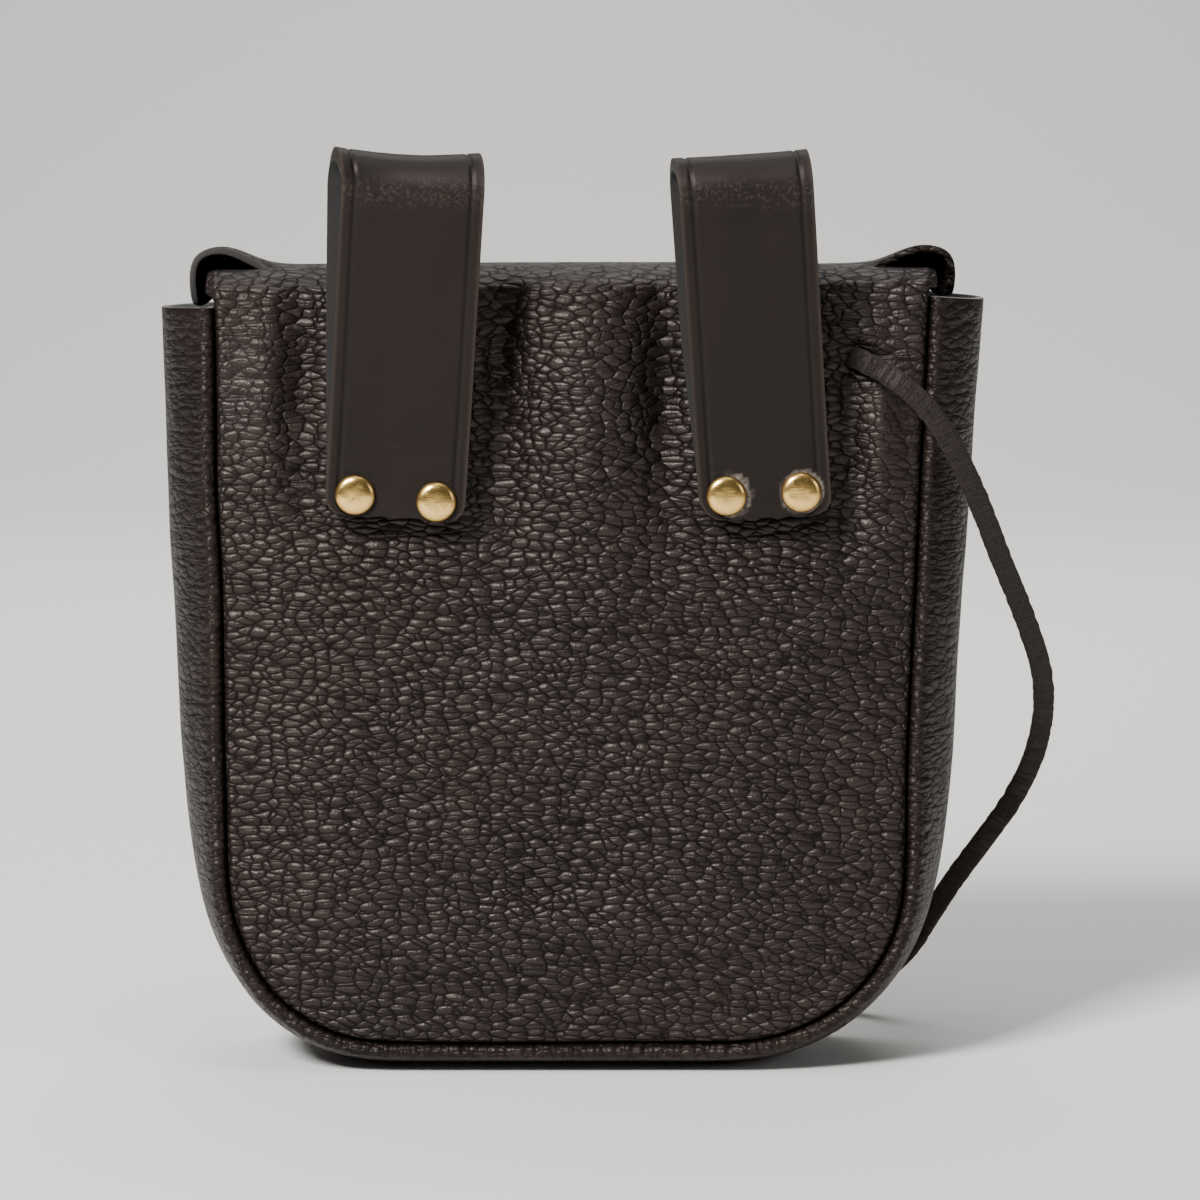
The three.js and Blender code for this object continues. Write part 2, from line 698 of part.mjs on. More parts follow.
// A rivet: domed cap outside, post through both halves and the back, flat cap inside.
function rivetSolid(x, z) {
  const outer = nearPlane - strapLeather / 2 - clearance;
  const inner = backFace(x, z) + panelLeather + clearance;
  const length = inner - outer;
  const profile = [
    ...domeRows.map(({ across, high }) => [capRadius * across, -capHeight * high]),
    [capRadius, -capRim],
    [capRadius, 0],
    [postRadius, 0],
    [postRadius, length],
    [capRadius * innerCap, length],
    [capRadius * innerCap, length + capRim],
    ...innerRows.map(({ across, high }) => [capRadius * across, length + capHeight * high]),
  ];
  const lathe = new THREE.LatheGeometry(profile.map(([r, h]) => new THREE.Vector2(r, h)), capSides);
  lathe.translate(x, outer, z);
  return lathe;
}

// The lace as a flat bar along its route. Its wide face looks towards the belt side, and
// it turns over near its free end, so that it lies flat on the floor.
const layStart = 0.7; // share of the route where it starts to turn over
const layEnd = 0.9;

function laceCurve() {
  const points = laceRoute.map(([x, y, z]) => new THREE.Vector3(x, y, z));
  return new THREE.CatmullRomCurve3(points, false, 'centripetal');
}

function laceStops(from, to, count, extra) {
  const curve = laceCurve();
  return Array.from({ length: count + 1 }, (_, i) => {
    const t = mix(from, to, i / count) / (laceRoute.length - 1);
    const along = curve.getTangent(t);
    const laid = smooth((t - layStart) / (layEnd - layStart)) * Math.PI / 2;
    const across = new THREE.Vector3(0, -Math.cos(laid), Math.sin(laid)).cross(along).normalize();
    const out = new THREE.Vector3().crossVectors(across, along).normalize();
    return { at: curve.getPoint(t), across, out, half: laceWidth / 2 + extra };
  });
}

function laceSolid() {
  return sweptBar(laceStops(0, laceRoute.length - 1, laceSteps, 0), laceThickness, laceEdge);
}

function knotSolid() {
  const start = laceStops(0, 1, 4, 0);
  const back = start[0].at.clone().sub(start[1].at).normalize();
  const knot = new THREE.SphereGeometry(knotRadius, knotSides, knotSides * 2 / 3);
  const reach = knotRadius + clearance;
  const at = start[0].at.clone().addScaledVector(back, reach);
  knot.translate(at.x, at.y, at.z);
  return knot;
}

// Booleans for the rivet holes and the lace slit
const library = await Module();
library.setup();

function toManifold(geometry) {
  const plain = geometry.clone();
  plain.deleteAttribute('normal');
  plain.deleteAttribute('uv');
  const merged = mergeVertices(plain, weldDistance);
  const vertProperties = new Float32Array(merged.attributes.position.array);
  const triVerts = new Uint32Array(merged.index.array);
  return new library.Manifold(new library.Mesh({ numProp: 3, vertProperties, triVerts }));
}

function fromManifold(solid) {
  const { vertProperties, triVerts } = solid.getMesh();
  const geometry = new THREE.BufferGeometry();
  geometry.setAttribute('position', new THREE.Float32BufferAttribute(vertProperties, 3));
  geometry.setIndex(Array.from(triVerts));
  return geometry;
}

const drillLength = 8 * (strapLeather + panelLeather);
const rivetHoles = rivets.map(({ x, z }) => {
  const radius = postRadius + clearance;
  const drill = new THREE.CylinderGeometry(radius, radius, drillLength, drillSides);
  drill.translate(x, nearPlane, z);
  return toManifold(drill);
});
const slitStops = laceStops(slitStart, slitEnd, slitSteps, clearance);
const slitHole = toManifold(sweptBar(slitStops, laceThickness + 2 * clearance, laceEdge));

const cutHoles = (geometry, holes) => {
  const solid = holes.reduce((left, hole) => left.subtract(hole), toManifold(geometry));
  return fromManifold(solid);
};

const leatherColour = 0x2b2421;
const strapColour = 0x33291f;
const brassColour = 0xb98f45;

const pieces = [
  {
    name: 'back_panel',
    geometry: cutHoles(backSheet(), [...rivetHoles, slitHole]),
    colour: leatherColour,
  },
  { name: 'front_panel', geometry: frontSheet(), colour: leatherColour },
  { name: 'gusset', geometry: gussetSheet(), colour: leatherColour },
  ...loops.map((loop) => ({
    name: loop.name,
    geometry: cutHoles(loopSolid(loop), rivetHoles),
    colour: strapColour,
  })),
  ...rivets.map(({ name, x, z }) => ({
    name,
    geometry: rivetSolid(x, z),
    colour: brassColour,
    metalness: 1,
    roughness: 0.35,
  })),
  { name: 'lace', geometry: laceSolid(), colour: strapColour, cord: true },
  { name: 'lace_knot', geometry: knotSolid(), colour: strapColour, cord: true },
];

// The origin is under the middle of the pouch's box, with the lace left out.
const box = new THREE.Box3();
for (const { geometry, cord } of pieces) {
  geometry.computeBoundingBox();
  if (!cord) box.union(geometry.boundingBox);
}
const middle = box.getCenter(new THREE.Vector3());
const group = new THREE.Group();
for (const { name, geometry, colour, metalness = 0, roughness = 0.6 } of pieces) {
  const material = new THREE.MeshStandardMaterial({ color: colour, metalness, roughness });
  const mesh = new THREE.Mesh(geometry, material);
  mesh.name = name;
  group.add(mesh);
}
group.position.set(-middle.x, -middle.y, -box.min.z);

export default group;
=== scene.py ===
"""Finishes a medieval belt pouch of turned leather, seen from its belt side.

The frame gives every place and size. The bag's leather starts from copies of the frame's
solids, and the belt loops, rivets and lace are modelled anew where the frame has them.
"""

import math

import bmesh
import bpy
import numpy as np
from bpy.props import FloatProperty, FloatVectorProperty, PointerProperty
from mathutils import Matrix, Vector, noise


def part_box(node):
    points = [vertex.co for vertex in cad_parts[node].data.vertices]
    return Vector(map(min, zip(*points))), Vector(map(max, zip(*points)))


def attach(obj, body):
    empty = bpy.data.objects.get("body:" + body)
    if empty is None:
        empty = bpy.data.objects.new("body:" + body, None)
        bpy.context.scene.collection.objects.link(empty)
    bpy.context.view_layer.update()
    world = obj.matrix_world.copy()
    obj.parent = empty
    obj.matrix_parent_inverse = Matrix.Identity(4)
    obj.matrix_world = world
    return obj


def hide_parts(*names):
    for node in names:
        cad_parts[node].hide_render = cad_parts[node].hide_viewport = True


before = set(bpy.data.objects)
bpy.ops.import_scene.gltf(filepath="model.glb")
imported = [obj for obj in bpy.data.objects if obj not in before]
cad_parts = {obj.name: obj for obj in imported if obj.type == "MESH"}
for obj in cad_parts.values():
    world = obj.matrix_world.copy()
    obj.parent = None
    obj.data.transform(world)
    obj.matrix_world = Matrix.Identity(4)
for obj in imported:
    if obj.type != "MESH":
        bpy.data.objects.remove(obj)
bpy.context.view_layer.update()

bl_info = {
    "name": "Medieval Belt Pouch",
    "version": (1, 0, 0),
    "blender": (4, 5, 0),
    "location": "View3D > Sidebar > Pouch",
    "description": "Finishes a turned leather belt pouch with belt loops, rivets and a lace",
    "category": "Object",
}

MM = 0.001


def linear(hex_colour):
    """The linear red, green, blue and alpha of an sRGB hex colour."""
    parts = [int(hex_colour[i : i + 2], 16) / 255 for i in (1, 3, 5)]
    return [c / 12.92 if c <= 0.04045 else ((c + 0.055) / 1.055) ** 2.4 for c in parts] + [1]


def smooth(t):
    """A soft step from 0 to 1, for numbers and arrays."""
    t = np.clip(t, 0, 1)
    return t * t * (3 - 2 * t)


# What the frame says about the pouch.
GUSSET_LOW, GUSSET_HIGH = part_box("gusset")
MIDDLE_Y = (GUSSET_LOW.y + GUSSET_HIGH.y) / 2
RIVETS = ["rivet_1", "rivet_2", "rivet_3", "rivet_4"]


def rivet_place(name):
    """The middle of a rivet and the depth of its two ends."""
    low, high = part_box(name)
    return (low.x + high.x) / 2, (low.z + high.z) / 2, low.y, high.y


class PouchSizes(bpy.types.PropertyGroup):
    grain_width: FloatProperty(
        name="Grain width",
        description="Width of one pebble of the grain",
        default=3.5 * MM,
        subtype="DISTANCE",
    )
    grain_height: FloatProperty(
        name="Grain height",
        description="Height of one pebble of the grain",
        default=1.7 * MM,
        subtype="DISTANCE",
    )
    wrinkle_step: FloatProperty(
        name="Wrinkle step",
        description="Distance between the cross wrinkles of the seam rolls",
        default=1.9 * MM,
        subtype="DISTANCE",
    )
    warp: FloatProperty(
        name="Warp",
        description="How far the bag's leather wanders from its even shape",
        default=0.7 * MM,
        subtype="DISTANCE",
    )
    groove_inset: FloatProperty(
        name="Groove inset",
        description="Distance of the edge crease from the edge of a belt loop",
        default=2.7 * MM,
        subtype="DISTANCE",
    )
    groove_depth: FloatProperty(
        name="Groove depth",
        description="Depth of the edge crease of a belt loop",
        default=0.32 * MM,
        subtype="DISTANCE",
    )


class PouchColours(bpy.types.PropertyGroup):
    bag: FloatVectorProperty(
        name="Bag leather",
        description="Colour of the pebbled bag leather",
        default=linear("#17100d"),
        size=4,
        subtype="COLOR",
    )
    strap: FloatVectorProperty(
        name="Strap leather",
        description="Colour of the smooth strap leather",
        default=linear("#110d0b"),
        size=4,
        subtype="COLOR",
    )
    flesh: FloatVectorProperty(
        name="Flesh side",
        description="Colour of the napped flesh side",
        default=linear("#171412"),
        size=4,
        subtype="COLOR",
    )
    cut: FloatVectorProperty(
        name="Cut edge",
        description="Colour of the raw cut edges",
        default=linear("#2b2521"),
        size=4,
        subtype="COLOR",
    )
    brass: FloatVectorProperty(
        name="Brass",
        description="Colour of the polished rivets",
        default=linear("#f0c878"),
        size=4,
        subtype="COLOR",
    )


# Materials

WARM = linear("#ffefe8")  # tint of the gloss on waxed brown leather


def add_node(tree, kind, settings=None, **inputs):
    """Adds a node, sets its options, and links or sets its inputs by name."""
    node = tree.nodes.new(kind)
    for key, value in (settings or {}).items():
        setattr(node, key, value)
    for key, value in inputs.items():
        socket = node.inputs[int(key[1:])] if key[0] == "i" and key[1:].isdigit() else node.inputs[key]
        if isinstance(value, bpy.types.NodeSocket):
            tree.links.new(value, socket)
        else:
            socket.default_value = value
    return node


def new_material(name):
    """An empty material with its principled shader."""
    material = bpy.data.materials.new(name)
    material.use_nodes = True
    tree = material.node_tree
    return material, tree, tree.nodes["Principled BSDF"]


def maths(tree, operation, a, b=0.5, c=0.5):
    """One number from up to three."""
    settings = {"operation": operation}
    return add_node(tree, "ShaderNodeMath", settings, i0=a, i1=b, i2=c).outputs[0]


def ramp(tree, factor, *stops, curve="LINEAR"):
    """Colours or greys over a factor, as pairs of place and value."""
    node = add_node(tree, "ShaderNodeValToRGB", Fac=factor)
    node.color_ramp.interpolation = curve
    elements = node.color_ramp.elements
    while len(elements) < len(stops):
        elements.new(0.5)
    for element, (place, value) in zip(elements, stops):
        element.position = place
        element.color = value if hasattr(value, "__len__") else (value, value, value, 1)
    return node.outputs[0]


def blend_colour(tree, factor, a, b, mode="MIX"):
    """Mixes two colours by a factor."""
    node = add_node(tree, "ShaderNodeMix", {"data_type": "RGBA", "blend_type": mode}, i0=factor)
    for socket, value in ((node.inputs[6], a), (node.inputs[7], b)):
        if isinstance(value, bpy.types.NodeSocket):
            tree.links.new(value, socket)
        else:
            socket.default_value = value
    return node.outputs[2]


def object_space(tree, scale=(1, 1, 1), shift=(0, 0, 0)):
    """The object's own coordinates, scaled for a pattern."""
    place = add_node(tree, "ShaderNodeTexCoord").outputs["Object"]
    mapping = add_node(tree, "ShaderNodeMapping", Vector=place, Scale=scale, Location=shift)
    return mapping.outputs[0]


def shade(colour, factor):
    """A colour made lighter or darker."""
    return [c * factor for c in colour[:3]] + [1]


def pebbled_leather(sizes, colours, wrinkled):
    """Drum-tumbled bag leather: uneven domed pebbles, wider than high, with gritty satin tops and
    creases between them that are painted darker and duller as shade. Where it was stretched
    it is calmer, with only thin level creases and less painted shade. The seam rolls carry
    fine cross wrinkles."""
    name = "Tumbled pebble-grain leather" + (", wrinkled at the seams" if wrinkled else "")
    material, tree, shader = new_material(name)
    place = object_space(tree)
    calm = add_node(tree, "ShaderNodeAttribute", {"attribute_name": "calm"}).outputs["Fac"]
    drift = add_node(tree, "ShaderNodeTexNoise", Vector=place, Scale=110, Detail=2).outputs["Color"]
    centred = add_node(
        tree, "ShaderNodeVectorMath", {"operation": "SUBTRACT"}, i0=drift, i1=(0.5, 0.5, 0.5)
    ).outputs[0]
    pushed = add_node(
        tree, "ShaderNodeVectorMath", {"operation": "SCALE"}, i0=centred, Scale=1.1
    ).outputs[0]
    cell = (1 / sizes.grain_width, 1 / sizes.grain_width, 1 / sizes.grain_height)
    warped = add_node(
        tree, "ShaderNodeVectorMath", {"operation": "ADD"}, i0=object_space(tree, cell), i1=pushed
    ).outputs[0]
    pattern = {"Vector": warped, "Scale": 1, "Randomness": 0.85}
    away = add_node(tree, "ShaderNodeTexVoronoi", {"feature": "F1"}, **pattern).outputs["Distance"]
    dome = maths(tree, "MULTIPLY_ADD", maths(tree, "MULTIPLY", away, away), -1.4, 1.0)
    edge = add_node(
        tree, "ShaderNodeTexVoronoi", {"feature": "DISTANCE_TO_EDGE"}, **pattern
    ).outputs["Distance"]
    seam = ramp(tree, edge, (0.0, 0.2), (0.05, 0.6), (0.13, 1.0), curve="B_SPLINE")
    level_map = object_space(tree, (42, 42, 330))
    folds = add_node(
        tree, "ShaderNodeTexNoise", Vector=level_map, Scale=1, Detail=1, Distortion=0.5
    ).outputs["Fac"]
    ridge = maths(tree, "ABSOLUTE", maths(tree, "SUBTRACT", folds, 0.5))
    crease = ramp(tree, ridge, (0.0, 0.0), (0.03, 0.5), (0.09, 1.0), curve="B_SPLINE")
    grit = add_node(tree, "ShaderNodeTexNoise", Vector=place, Scale=1300, Detail=2).outputs["Fac"]
    pebble = maths(tree, "MULTIPLY_ADD", seam, 0.3, dome)
    pebble = maths(tree, "MULTIPLY", pebble, maths(tree, "MULTIPLY_ADD", calm, -0.75, 1.0))
    height = maths(tree, "MULTIPLY_ADD", crease, 0.22, pebble)
    height = maths(tree, "MULTIPLY_ADD", grit, 0.26, height)
    worn = add_node(tree, "ShaderNodeTexNoise", Vector=place, Scale=28, Detail=3).outputs["Fac"]
    if wrinkled:
        along = add_node(tree, "ShaderNodeAttribute", {"attribute_name": "along"}).outputs["Fac"]
        roll = add_node(tree, "ShaderNodeAttribute", {"attribute_name": "roll"}).outputs["Fac"]
        lines = add_node(
            tree,
            "ShaderNodeCombineXYZ",
            X=maths(tree, "DIVIDE", along, sizes.wrinkle_step),
            Y=maths(tree, "MULTIPLY", worn, 2.0),
        ).outputs[0]
        wrinkles = add_node(tree, "ShaderNodeTexNoise", Vector=lines, Scale=1, Detail=1).outputs["Fac"]
        height = maths(tree, "MULTIPLY_ADD", maths(tree, "MULTIPLY", wrinkles, roll), 1.0, height)
    bump = add_node(
        tree, "ShaderNodeBump", Strength=1.0, Distance=0.75 * MM, Height=height
    ).outputs[0]
    # Painted shade: the creases between the pebbles are painted darker and given less gloss, standing in for
    # the shade that falls in them; calm places get less of it.
    out_of_crease_shade = maths(tree, "MULTIPLY", seam, maths(tree, "MULTIPLY_ADD", crease, 0.4, 0.6))
    out_of_painted_shade = maths(tree, "MAXIMUM", out_of_crease_shade, maths(tree, "MULTIPLY", calm, 0.75))
    tops = blend_colour(tree, out_of_painted_shade, shade(colours.bag, 0.2), colours.bag)
    tone = ramp(tree, worn, (0.3, 0.7), (0.7, 1.3))
    colour = blend_colour(tree, 1.0, tops, tone, "MULTIPLY")
    rough = maths(tree, "MULTIPLY_ADD", out_of_painted_shade, -0.16, maths(tree, "MULTIPLY_ADD", worn, 0.12, 0.53))
    gloss = maths(tree, "MULTIPLY_ADD", out_of_painted_shade, 0.28 if wrinkled else 0.42, 0.05)
    tree.links.new(colour, shader.inputs["Base Color"])
    tree.links.new(rough, shader.inputs["Roughness"])
    tree.links.new(gloss, shader.inputs["Specular IOR Level"])
    tree.links.new(bump, shader.inputs["Normal"])
    shader.inputs["Specular Tint"].default_value = WARM
    return material


def flesh_leather(colours):
    """The flesh side of the leather, left napped: matt, with short soft fibres."""
    material, tree, shader = new_material("Napped flesh-side leather")
    place = object_space(tree)
    nap = add_node(
        tree, "ShaderNodeTexNoise", Vector=place, Scale=1500, Detail=5, Roughness=0.7
    ).outputs["Fac"]
    patches = add_node(
        tree, "ShaderNodeTexNoise", Vector=place, Scale=90, Detail=3, Roughness=0.6
    ).outputs["Fac"]
    amount = maths(tree, "MULTIPLY_ADD", patches, 0.5, maths(tree, "MULTIPLY", nap, 0.6))
    colour = blend_colour(tree, amount, shade(colours.flesh, 0.6), shade(colours.flesh, 1.7))
    bump = add_node(tree, "ShaderNodeBump", Strength=0.8, Distance=0.2 * MM, Height=nap).outputs[0]
    tree.links.new(colour, shader.inputs["Base Color"])
    tree.links.new(bump, shader.inputs["Normal"])
    shader.inputs["Roughness"].default_value = 0.92
    shader.inputs["Sheen Weight"].default_value = 0.15
    return material


def cut_edge(colours):
    """A raw knife-cut leather edge: paler felted fibres that catch the light."""
    material, tree, shader = new_material("Raw cut leather edge")
    place = object_space(tree)
    fibres = add_node(
        tree, "ShaderNodeTexNoise", Vector=place, Scale=1900, Detail=4, Roughness=0.7
    ).outputs["Fac"]
    colour = blend_colour(tree, fibres, shade(colours.cut, 0.45), shade(colours.cut, 1.5))
    bump = add_node(tree, "ShaderNodeBump", Strength=1.0, Distance=0.25 * MM, Height=fibres).outputs[0]
    tree.links.new(colour, shader.inputs["Base Color"])
    tree.links.new(bump, shader.inputs["Normal"])
    shader.inputs["Roughness"].default_value = 0.9
    shader.inputs["Sheen Weight"].default_value = 0.25
    return material


def strap_leather(colours):
    """Smooth vegetable-tanned strap leather with a waxed satin face, a burnished edge, fine
    pores, faint bend wrinkles, and paler scraped leather beside two of the rivets. The lip along
    the edge is painted lighter as a highlight, the edge crease is painted darker as shade, and a
    stripe near the top is painted lighter as sheen mixed with scuffing."""
    material, tree, shader = new_material("Waxed smooth strap leather")
    place = object_space(tree)
    pores = add_node(
        tree, "ShaderNodeTexNoise", Vector=place, Scale=1400, Detail=4, Roughness=0.65
    ).outputs["Fac"]
    clouds = add_node(
        tree, "ShaderNodeTexNoise", Vector=place, Scale=45, Detail=5, Roughness=0.65
    ).outputs["Fac"]
    fold_map = object_space(tree, (55, 55, 620))
    folds = add_node(
        tree, "ShaderNodeTexNoise", Vector=fold_map, Scale=1, Detail=2, Roughness=0.5, Distortion=0.4
    ).outputs["Fac"]
    down = add_node(tree, "ShaderNodeSeparateXYZ", Vector=place).outputs["Z"]
    low = add_node(
        tree, "ShaderNodeMapRange", Value=down, i1=178 * MM, i2=152 * MM
    ).outputs[0]
    # A speckled stripe near the top, where the strap curves over, is painted lighter: partly painted sheen
    # where it faces the light, partly scuffing.
    sheen_scuff_rise = add_node(
        tree, "ShaderNodeMapRange", {"interpolation_type": "SMOOTHSTEP"}, Value=down, i1=190 * MM, i2=195 * MM
    ).outputs[0]
    over = add_node(
        tree, "ShaderNodeMapRange", {"interpolation_type": "SMOOTHSTEP"}, Value=down, i1=200 * MM, i2=196 * MM
    ).outputs[0]
    sheen_and_scuff_band = maths(tree, "MULTIPLY", sheen_scuff_rise, over)
    speckle = ramp(tree, pores, (0.5, 0.0), (0.66, 1.0))
    sheen_and_scuff_band = maths(tree, "MULTIPLY", sheen_and_scuff_band, speckle)
    height = maths(tree, "MULTIPLY", pores, 0.35)
    height = maths(tree, "MULTIPLY_ADD", maths(tree, "MULTIPLY", folds, low), 1.7, height)
    height = maths(tree, "MULTIPLY_ADD", clouds, 0.5, height)
    bump = add_node(tree, "ShaderNodeBump", Strength=0.7, Distance=0.14 * MM, Height=height).outputs[0]
    colour = blend_colour(tree, clouds, shade(colours.strap, 0.6), shade(colours.strap, 1.5))
    # Lightens the stripe near the top: painted sheen mixed with scuffing.
    colour = blend_colour(tree, maths(tree, "MULTIPLY", sheen_and_scuff_band, 0.16), colour, linear("#6a625c"))
    lip = add_node(tree, "ShaderNodeAttribute", {"attribute_name": "lip"}).outputs["Fac"]
    groove = add_node(tree, "ShaderNodeAttribute", {"attribute_name": "groove"}).outputs["Fac"]
    scrape = add_node(tree, "ShaderNodeAttribute", {"attribute_name": "scrape"}).outputs["Fac"]
    # Painted highlight: the lip along the edge is lightened.
    colour = blend_colour(tree, maths(tree, "MULTIPLY", lip, 0.3), colour, linear("#4c423b"))
    # Painted shade: the edge crease is darkened.
    colour = blend_colour(tree, maths(tree, "MULTIPLY", groove, 0.8), colour, shade(colours.strap, 0.25))
    pale = maths(tree, "MULTIPLY", scrape, ramp(tree, pores, (0.38, 0.25), (0.55, 0.85)))
    colour = blend_colour(tree, pale, colour, linear("#857a70"))
    rough = maths(tree, "MULTIPLY_ADD", clouds, 0.18, 0.4)
    rough = maths(tree, "MULTIPLY_ADD", lip, 0.15, rough)
    tree.links.new(colour, shader.inputs["Base Color"])
    tree.links.new(rough, shader.inputs["Roughness"])
    tree.links.new(bump, shader.inputs["Normal"])
    shader.inputs["Specular IOR Level"].default_value = 0.24
    shader.inputs["Specular Tint"].default_value = WARM
    return material


def rivet_brass(colours):
    """Solid brass, die-struck and rubbed bright, with brown tarnish left at the rim and fine
    scratches across the dome."""
    material, tree, shader = new_material("Struck brass, rubbed and tarnished")
    place = object_space(tree)
    stains = add_node(
        tree, "ShaderNodeTexNoise", Vector=place, Scale=420, Detail=5, Roughness=0.7
    ).outputs["Fac"]
    scratch_map = object_space(tree, (300, 300, 5200))
    scratches = add_node(
        tree, "ShaderNodeTexNoise", Vector=scratch_map, Scale=1, Detail=2, Roughness=0.6
    ).outputs["Fac"]
    rim = add_node(tree, "ShaderNodeAttribute", {"attribute_name": "rim"}).outputs["Fac"]
    stained = maths(tree, "MULTIPLY_ADD", rim, 0.55, ramp(tree, stains, (0.55, 0.0), (0.75, 0.7)))
    colour = blend_colour(tree, stained, colours.brass, linear("#6b4420"))
    height = maths(tree, "MULTIPLY_ADD", scratches, 0.6, maths(tree, "MULTIPLY", stains, 0.8))
    bump = add_node(tree, "ShaderNodeBump", Strength=0.5, Distance=0.06 * MM, Height=height).outputs[0]
    rough = maths(tree, "MULTIPLY_ADD", stained, 0.3, 0.2)
    tree.links.new(colour, shader.inputs["Base Color"])
    tree.links.new(rough, shader.inputs["Roughness"])
    tree.links.new(bump, shader.inputs["Normal"])
    shader.inputs["Metallic"].default_value = 1.0
    return material


def lace_leather():
    """A cut thong of soft leather, its face cracked across by bending, its edges fuzzy."""
    material, tree, shader = new_material("Cut leather thong, cracked")
    place = object_space(tree)
    along = add_node(tree, "ShaderNodeAttribute", {"attribute_name": "along"}).outputs["Fac"]
    edge = add_node(tree, "ShaderNodeAttribute", {"attribute_name": "edge"}).outputs["Fac"]
    wander = add_node(
        tree, "ShaderNodeTexNoise", Vector=place, Scale=500, Detail=2, Roughness=0.5
    ).outputs["Fac"]
    across = add_node(
        tree,
        "ShaderNodeCombineXYZ",
        X=maths(tree, "DIVIDE", along, 1.6 * MM),
        Y=maths(tree, "MULTIPLY", wander, 2.2),
    ).outputs[0]
    cracks = add_node(
        tree, "ShaderNodeTexNoise", Vector=across, Scale=1, Detail=3, Roughness=0.6
    ).outputs["Fac"]
    line = ramp(tree, maths(tree, "ABSOLUTE", maths(tree, "SUBTRACT", cracks, 0.5)), (0.0, 0.0), (0.07, 1.0))
    fibres = add_node(
        tree, "ShaderNodeTexNoise", Vector=place, Scale=2200, Detail=4, Roughness=0.7
    ).outputs["Fac"]
    height = maths(tree, "MULTIPLY_ADD", line, 0.7, maths(tree, "MULTIPLY", fibres, 0.5))
    bump = add_node(tree, "ShaderNodeBump", Strength=1.0, Distance=0.25 * MM, Height=height).outputs[0]
    face = blend_colour(tree, line, linear("#070605"), linear("#191412"))
    fuzz = blend_colour(tree, fibres, linear("#14100e"), linear("#3a322c"))
    colour = blend_colour(tree, edge, face, fuzz)
    tree.links.new(colour, shader.inputs["Base Color"])
    tree.links.new(maths(tree, "MULTIPLY_ADD", edge, 0.3, 0.6), shader.inputs["Roughness"])
    tree.links.new(bump, shader.inputs["Normal"])
    shader.inputs["Specular IOR Level"].default_value = 0.32
    shader.inputs["Specular Tint"].default_value = WARM
    return material


def paper_floor():
    """Rolled matt backdrop paper: pale, even and without gloss."""
    material, tree, shader = new_material("Matt backdrop paper")
    shader.inputs["Base Color"].default_value = linear("#e9e7e3")
    shader.inputs["Roughness"].default_value = 0.9
    fibre = add_node(
        tree, "ShaderNodeTexNoise", Vector=object_space(tree), Scale=900, Detail=2, Roughness=0.5
    ).outputs["Fac"]
    bump = add_node(tree, "ShaderNodeBump", Strength=0.1, Distance=0.1 * MM, Height=fibre).outputs[0]
    tree.links.new(bump, shader.inputs["Normal"])
    return material


# Modelling helpers


def deselect():
    """Leaves nothing selected, in object mode."""
    if bpy.context.object and bpy.context.object.mode != "OBJECT":
        bpy.ops.object.mode_set(mode="OBJECT")
    bpy.ops.object.select_all(action="DESELECT")


def take(piece):
    """Makes a piece the only selected and the active one."""
    deselect()
    piece.select_set(True)
    bpy.context.view_layer.objects.active = piece


def points_of(piece):
    """A piece's points as an array."""
    points = np.zeros(len(piece.data.vertices) * 3)
    piece.data.vertices.foreach_get("co", points)
    return points.reshape(-1, 3)


def set_points(piece, points):
    """Moves a piece's points."""
    piece.data.vertices.foreach_set("co", points.astype(np.float32).ravel())
    piece.data.update()


def set_attribute(piece, name, values):
    """Keeps a number for each point, which a material reads."""
    layer = piece.data.attributes.new(name, "FLOAT", "POINT")
    layer.data.foreach_set("value", np.asarray(values, np.float32))


def add_modifier(piece, kind, **settings):
    """Adds a modifier with its settings and applies it."""
    take(piece)
    modifier = piece.modifiers.new(kind.title(), kind)
    for key, value in settings.items():
        setattr(modifier, key, value)
    bpy.ops.object.modifier_apply(modifier=modifier.name)


def subdivide(piece, levels, simple=False):
    """Subdivides a piece and applies it."""
    kind = "SIMPLE" if simple else "CATMULL_CLARK"
    add_modifier(piece, "SUBSURF", subdivision_type=kind, levels=levels, render_levels=levels)


def finish_piece(piece, node_names, slot, *materials):
    """Gives a piece its materials and its body, and hides the frame's nodes that it stands for."""
    if not piece.data.materials:
        for material in materials:
            piece.data.materials.append(material)
    take(piece)
    bpy.ops.object.shade_smooth()
    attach(piece, "root")
    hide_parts(*node_names)


SHARP_ANGLE = math.radians(58)
RIM_CREASE = 0.8
GRAIN, FLESH, CUT = 0, 1, 2


def assign_skins(mesh, seeds):
    """Sets the material of each face: the smooth skin around the first seed is the grain side,
    the one around the second the flesh side, and what lies between them is cut edge. Sharp
    edges, where a skin ends, get a crease that keeps them crisp when the mesh is subdivided."""
    shape = bmesh.new()
    shape.from_mesh(mesh)
    shape.faces.ensure_lookup_table()
    crease = shape.edges.layers.float.new("crease_edge")
    for edge in shape.edges:
        edge[crease] = RIM_CREASE if edge.calc_face_angle(0) > SHARP_ANGLE else 0
    for face in shape.faces:
        face.material_index = CUT
    for index, seed in zip((GRAIN, FLESH), seeds):
        first = min(shape.faces, key=lambda face: (face.calc_center_median() - Vector(seed)).length)
        waiting = [first]
        first.material_index = index
        while waiting:
            for edge in waiting.pop().edges:
                if edge[crease] > 0:
                    continue
                for face in edge.link_faces:
                    if face.material_index == CUT:
                        face.material_index = index
                        waiting.append(face)
    shape.to_mesh(mesh)
    shape.free()


